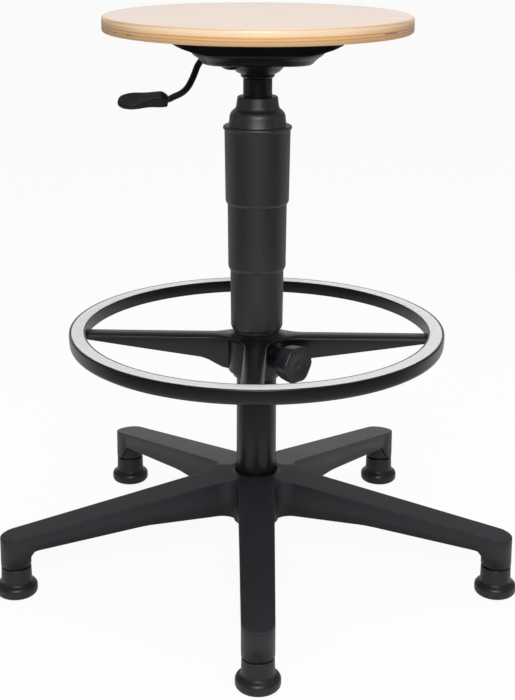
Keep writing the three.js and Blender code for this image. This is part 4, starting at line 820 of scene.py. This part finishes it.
handle = {
    "start": -108.4, "length": 60.8, "level": 596.9, "roll": 20.5, "around": 72,
    "dish": 1.5, "dishAt": 0.72, "dishLong": 0.2, "dishWide": 12.5,
    # share of the length, half width, top, bottom, squareness of the upper and the lower half
    "stations": [(0.0, 4.8, 4.2, -5.8, 4, 4), (0.008, 5.4, 4.7, -6.8, 6, 5), (0.02, 5.9, 5.3, -7.1, 7, 6),
                 (0.06, 7.0, 6.8, -7.2, 7, 6), (0.1, 7.9, 8.1, -7.2, 7, 6), (0.125, 8.2, 8.6, -7.2, 7, 6),
                 (0.2, 8.3, 8.4, -7.1, 7, 6), (0.3, 8.5, 7.6, -6.9, 7, 5.5), (0.36, 9.0, 6.9, -6.8, 7, 5.5),
                 (0.42, 10.1, 6.0, -6.7, 7, 5.5),
                 (0.48, 11.8, 5.0, -6.6, 7.5, 5), (0.54, 13.5, 4.1, -6.5, 8, 5), (0.6, 14.9, 3.3, -6.4, 8, 4.5),
                 (0.66, 15.8, 2.7, -6.3, 8, 4.5), (0.72, 16.1, 2.2, -6.2, 8, 4.5), (0.78, 15.9, 1.8, -6.1, 8, 4),
                 (0.84, 15.1, 1.4, -6.0, 7.5, 4), (0.89, 13.7, 1.1, -5.8, 7, 3.5), (0.93, 12.0, 0.8, -5.5, 6, 3.2),
                 (0.96, 9.9, 0.3, -5.1, 5, 3), (0.98, 7.7, -0.3, -4.7, 4, 2.6), (0.993, 4.9, -1.2, -4.0, 3, 2.2),
                 (1.0, 1.8, -2.2, -3.3, 2, 2)],
}


def handlePoint(station, angle):
    along, wide, high, low, upper, lower = station
    c, s = math.cos(angle), math.sin(angle)
    square = 2 / (upper if s > 0 else lower)
    y = wide * math.copysign(abs(c) ** square, c)
    z = mix(low, high, 0.5 + 0.5 * math.copysign(abs(s) ** square, s))
    if s > 0:  # thumb dish in the paddle
        reach = ((along - handle["dishAt"]) / handle["dishLong"]) ** 4 + (y / handle["dishWide"]) ** 4
        z -= handle["dish"] * smooth(0, 0.4, s) * math.exp(-reach)
    return Vector((-along * handle["length"], y, z))


shape = loft(handle["stations"], handle["around"], handlePoint)
moved(shape, (handle["start"], 0, handle["level"]), [(handle["roll"], "X")])
addPiece("leverHandle", shape, leverSkin, "lever", "lever_plastic", ["lever_handle"], crease=45)
print("lever ready")

# CAD nodes that stay: a finish by what the node's name starts with
nodeFinish = {
    "seat_insert": zincMetal, "seat_screw": zincMetal, "glide_stem": zincMetal, "guide_bush": bushSkin, "bearing": steelMetal,
    "stop_buffer": rubberSkin, "piston_rod": steelMetal, "piston": bushSkin, "rod_clip_washer": zincMetal, "rod_clip": steelMetal,
    "pressure_tube": paintSkinWithPaintedShade, "rod_seal": rubberSkin, "release_pin": steelMetal, "lever_bracket": zincMetal,
    "clamp_insert": steelMetal, "clamp_screw": zincMetal, "clamp_pad": bushSkin,
}
for name, node in frame["nodes"].items():
    word = next((w for w in nodeFinish if name.startswith(w)), None)
    if word:
        for slot in node.material_slots:
            slot.material = nodeFinish[word]
print("frame nodes finished")

# Studio: pale floor, soft lamps, white background
studio = {
    "floor": (0.9, 0.9, 0.9), "floorRadius": 30, "floorDrop": 0.0005, "white": 0.93, "ambient": 0.42,
    # what gloss shows: the floor darkens from near to away at the front, and the surroundings are bright low down at the back
    "floorAway": (0.05, 0.05, 0.05), "near": 0.35, "away": 1.1, "frontFrom": -0.1, "frontTo": 0.5,
    "behindCamera": 0.14, "backFrom": 0.6, "backTo": 1.0, "ceiling": 0.16, "ceilingFrom": 0.22, "ceilingTo": 0.5,
    # name, place, what it looks at, size, power, tint
    "lamps": [("keyFront", (0.0, -2.45, 1.98), (0, 0, 0.45), (1.1, 0.9), 62, (1.0, 0.995, 0.985)),
              ("overhead", (0.2, 0.2, 2.6), (0, 0, 0.4), (1.6, 1.2), 15, (1, 1, 1)),
              ("leftSide", (-2.3, -0.2, 1.1), (0, 0, 0.35), (1.0, 1.6), 2, (1, 1, 1)),
              ("rightSide", (2.3, -0.2, 1.1), (0, 0, 0.35), (1.0, 1.6), 2.5, (1, 1, 1))],
}


def floorMaterial():
    material, tree, shader, place = newMaterial("paleFloor", Roughness=0.6, Specular_IOR_Level=0.2)
    shade = blend(tree, noise(tree, place, 2.0, 2.0), [c * 0.985 for c in studio["floor"]], studio["floor"])
    ray = tree.nodes.new("ShaderNodeLightPath").outputs
    length = addNode(tree, "ShaderNodeVectorMath", {0: place}, operation="LENGTH").outputs["Value"]
    far = remap(tree, length, studio["near"], studio["away"], interpolation_type="SMOOTHSTEP")
    along = addNode(tree, "ShaderNodeSeparateXYZ", {0: place}).outputs["Y"]
    front = remap(tree, along, studio["frontFrom"], studio["frontTo"], 1.0, 0.0)
    dim = calc(tree, "MULTIPLY", ray["Is Glossy Ray"], calc(tree, "MULTIPLY", front, far))
    tree.links.new(blend(tree, dim, shade, studio["floorAway"]), shader.inputs["Base Color"])
    glow = addNode(tree, "ShaderNodeEmission", {"Color": (1, 1, 1, 1), "Strength": 1.0}).outputs[0]
    seen = calc(tree, "MAXIMUM", ray["Is Camera Ray"], ray["Is Transmission Ray"])
    share = calc(tree, "MULTIPLY", seen, studio["white"])
    surface = addNode(tree, "ShaderNodeMixShader", {0: share, 1: shader.outputs[0], 2: glow}).outputs[0]
    tree.links.new(surface, tree.nodes["Material Output"].inputs["Surface"])
    return material


bm = bmesh.new()
bmesh.ops.create_circle(bm, cap_ends=True, radius=studio["floorRadius"], segments=64)
bmesh.ops.translate(bm, vec=(0, 0, -studio["floorDrop"]), verts=bm.verts)
floorMesh = bpy.data.meshes.new("studioFloor")
bm.to_mesh(floorMesh)
bm.free()
floorMesh.materials.append(floorMaterial())
floor = bpy.data.objects.new("studioFloor", floorMesh)
bpy.context.scene.collection.objects.link(floor)

world = bpy.data.worlds.new("studioWorld")
bpy.context.scene.world = world
world.use_nodes = True
tree = world.node_tree
tree.nodes.clear()
ray = tree.nodes.new("ShaderNodeLightPath").outputs
direction = addNode(tree, "ShaderNodeSeparateXYZ", {0: tree.nodes.new("ShaderNodeTexCoord").outputs["Generated"]}).outputs
horizon = remap(tree, direction["Y"], studio["backFrom"], studio["backTo"], studio["behindCamera"], 1.0,
                interpolation_type="SMOOTHSTEP")
gradient = remap(tree, direction["Z"], studio["ceilingFrom"], studio["ceilingTo"], horizon, studio["ceiling"],
                 interpolation_type="SMOOTHSTEP")
direct = calc(tree, "MAXIMUM", ray["Is Camera Ray"], ray["Is Transmission Ray"])
soft = addNode(tree, "ShaderNodeMix", {"Factor": ray["Is Glossy Ray"], "A": studio["ambient"], "B": gradient}).outputs[0]
level = addNode(tree, "ShaderNodeMix", {"Factor": direct, "A": soft, "B": 1.0}).outputs[0]
light = addNode(tree, "ShaderNodeBackground", {"Color": (1, 1, 1, 1), "Strength": level}).outputs[0]
addNode(tree, "ShaderNodeOutputWorld", {"Surface": light})


def softbox(name, place, target, size, power, tint):
    data = bpy.data.lights.new(name, "AREA")
    data.shape = "RECTANGLE"
    data.size, data.size_y = size
    data.energy = power
    data.color = tint
    lamp = bpy.data.objects.new(name, data)
    lamp.location = place
    lamp.rotation_euler = (Vector(target) - Vector(place)).to_track_quat("-Z", "Y").to_euler()
    bpy.context.scene.collection.objects.link(lamp)


for lampValues in studio["lamps"]:
    softbox(*lampValues)

# Camera: the photograph's viewing angle
camera = {
    "place": (-0.01647, -1.68381, 0.84799), "pitch": 0.2161, "yaw": 0.0098, "roll": -0.0042,
    "lens": 73.58, "sensor": 36, "shiftY": -0.2124, "clipEnd": 100,
}
data = bpy.data.cameras.new("studioCamera")
data.lens = camera["lens"]
data.sensor_width = camera["sensor"]
data.shift_y = camera["shiftY"]
data.clip_end = camera["clipEnd"]
view = bpy.data.objects.new("studioCamera", data)
cp, sp = math.cos(camera["pitch"]), math.sin(camera["pitch"])
cy, sy = math.cos(camera["yaw"]), math.sin(camera["yaw"])
forward = Vector((sy * cp, cy * cp, -sp))
right = Vector((cy, -sy, 0))
up = right.cross(forward)
cr, sr = math.cos(camera["roll"]), math.sin(camera["roll"])
axes = Matrix((right * cr - up * sr, right * sr + up * cr, -forward)).transposed()
view.matrix_world = Matrix.Translation(camera["place"]) @ axes.to_4x4()
bpy.context.scene.collection.objects.link(view)
bpy.context.scene.camera = view
bpy.context.scene.view_settings.view_transform = "Standard"
print("studio ready")
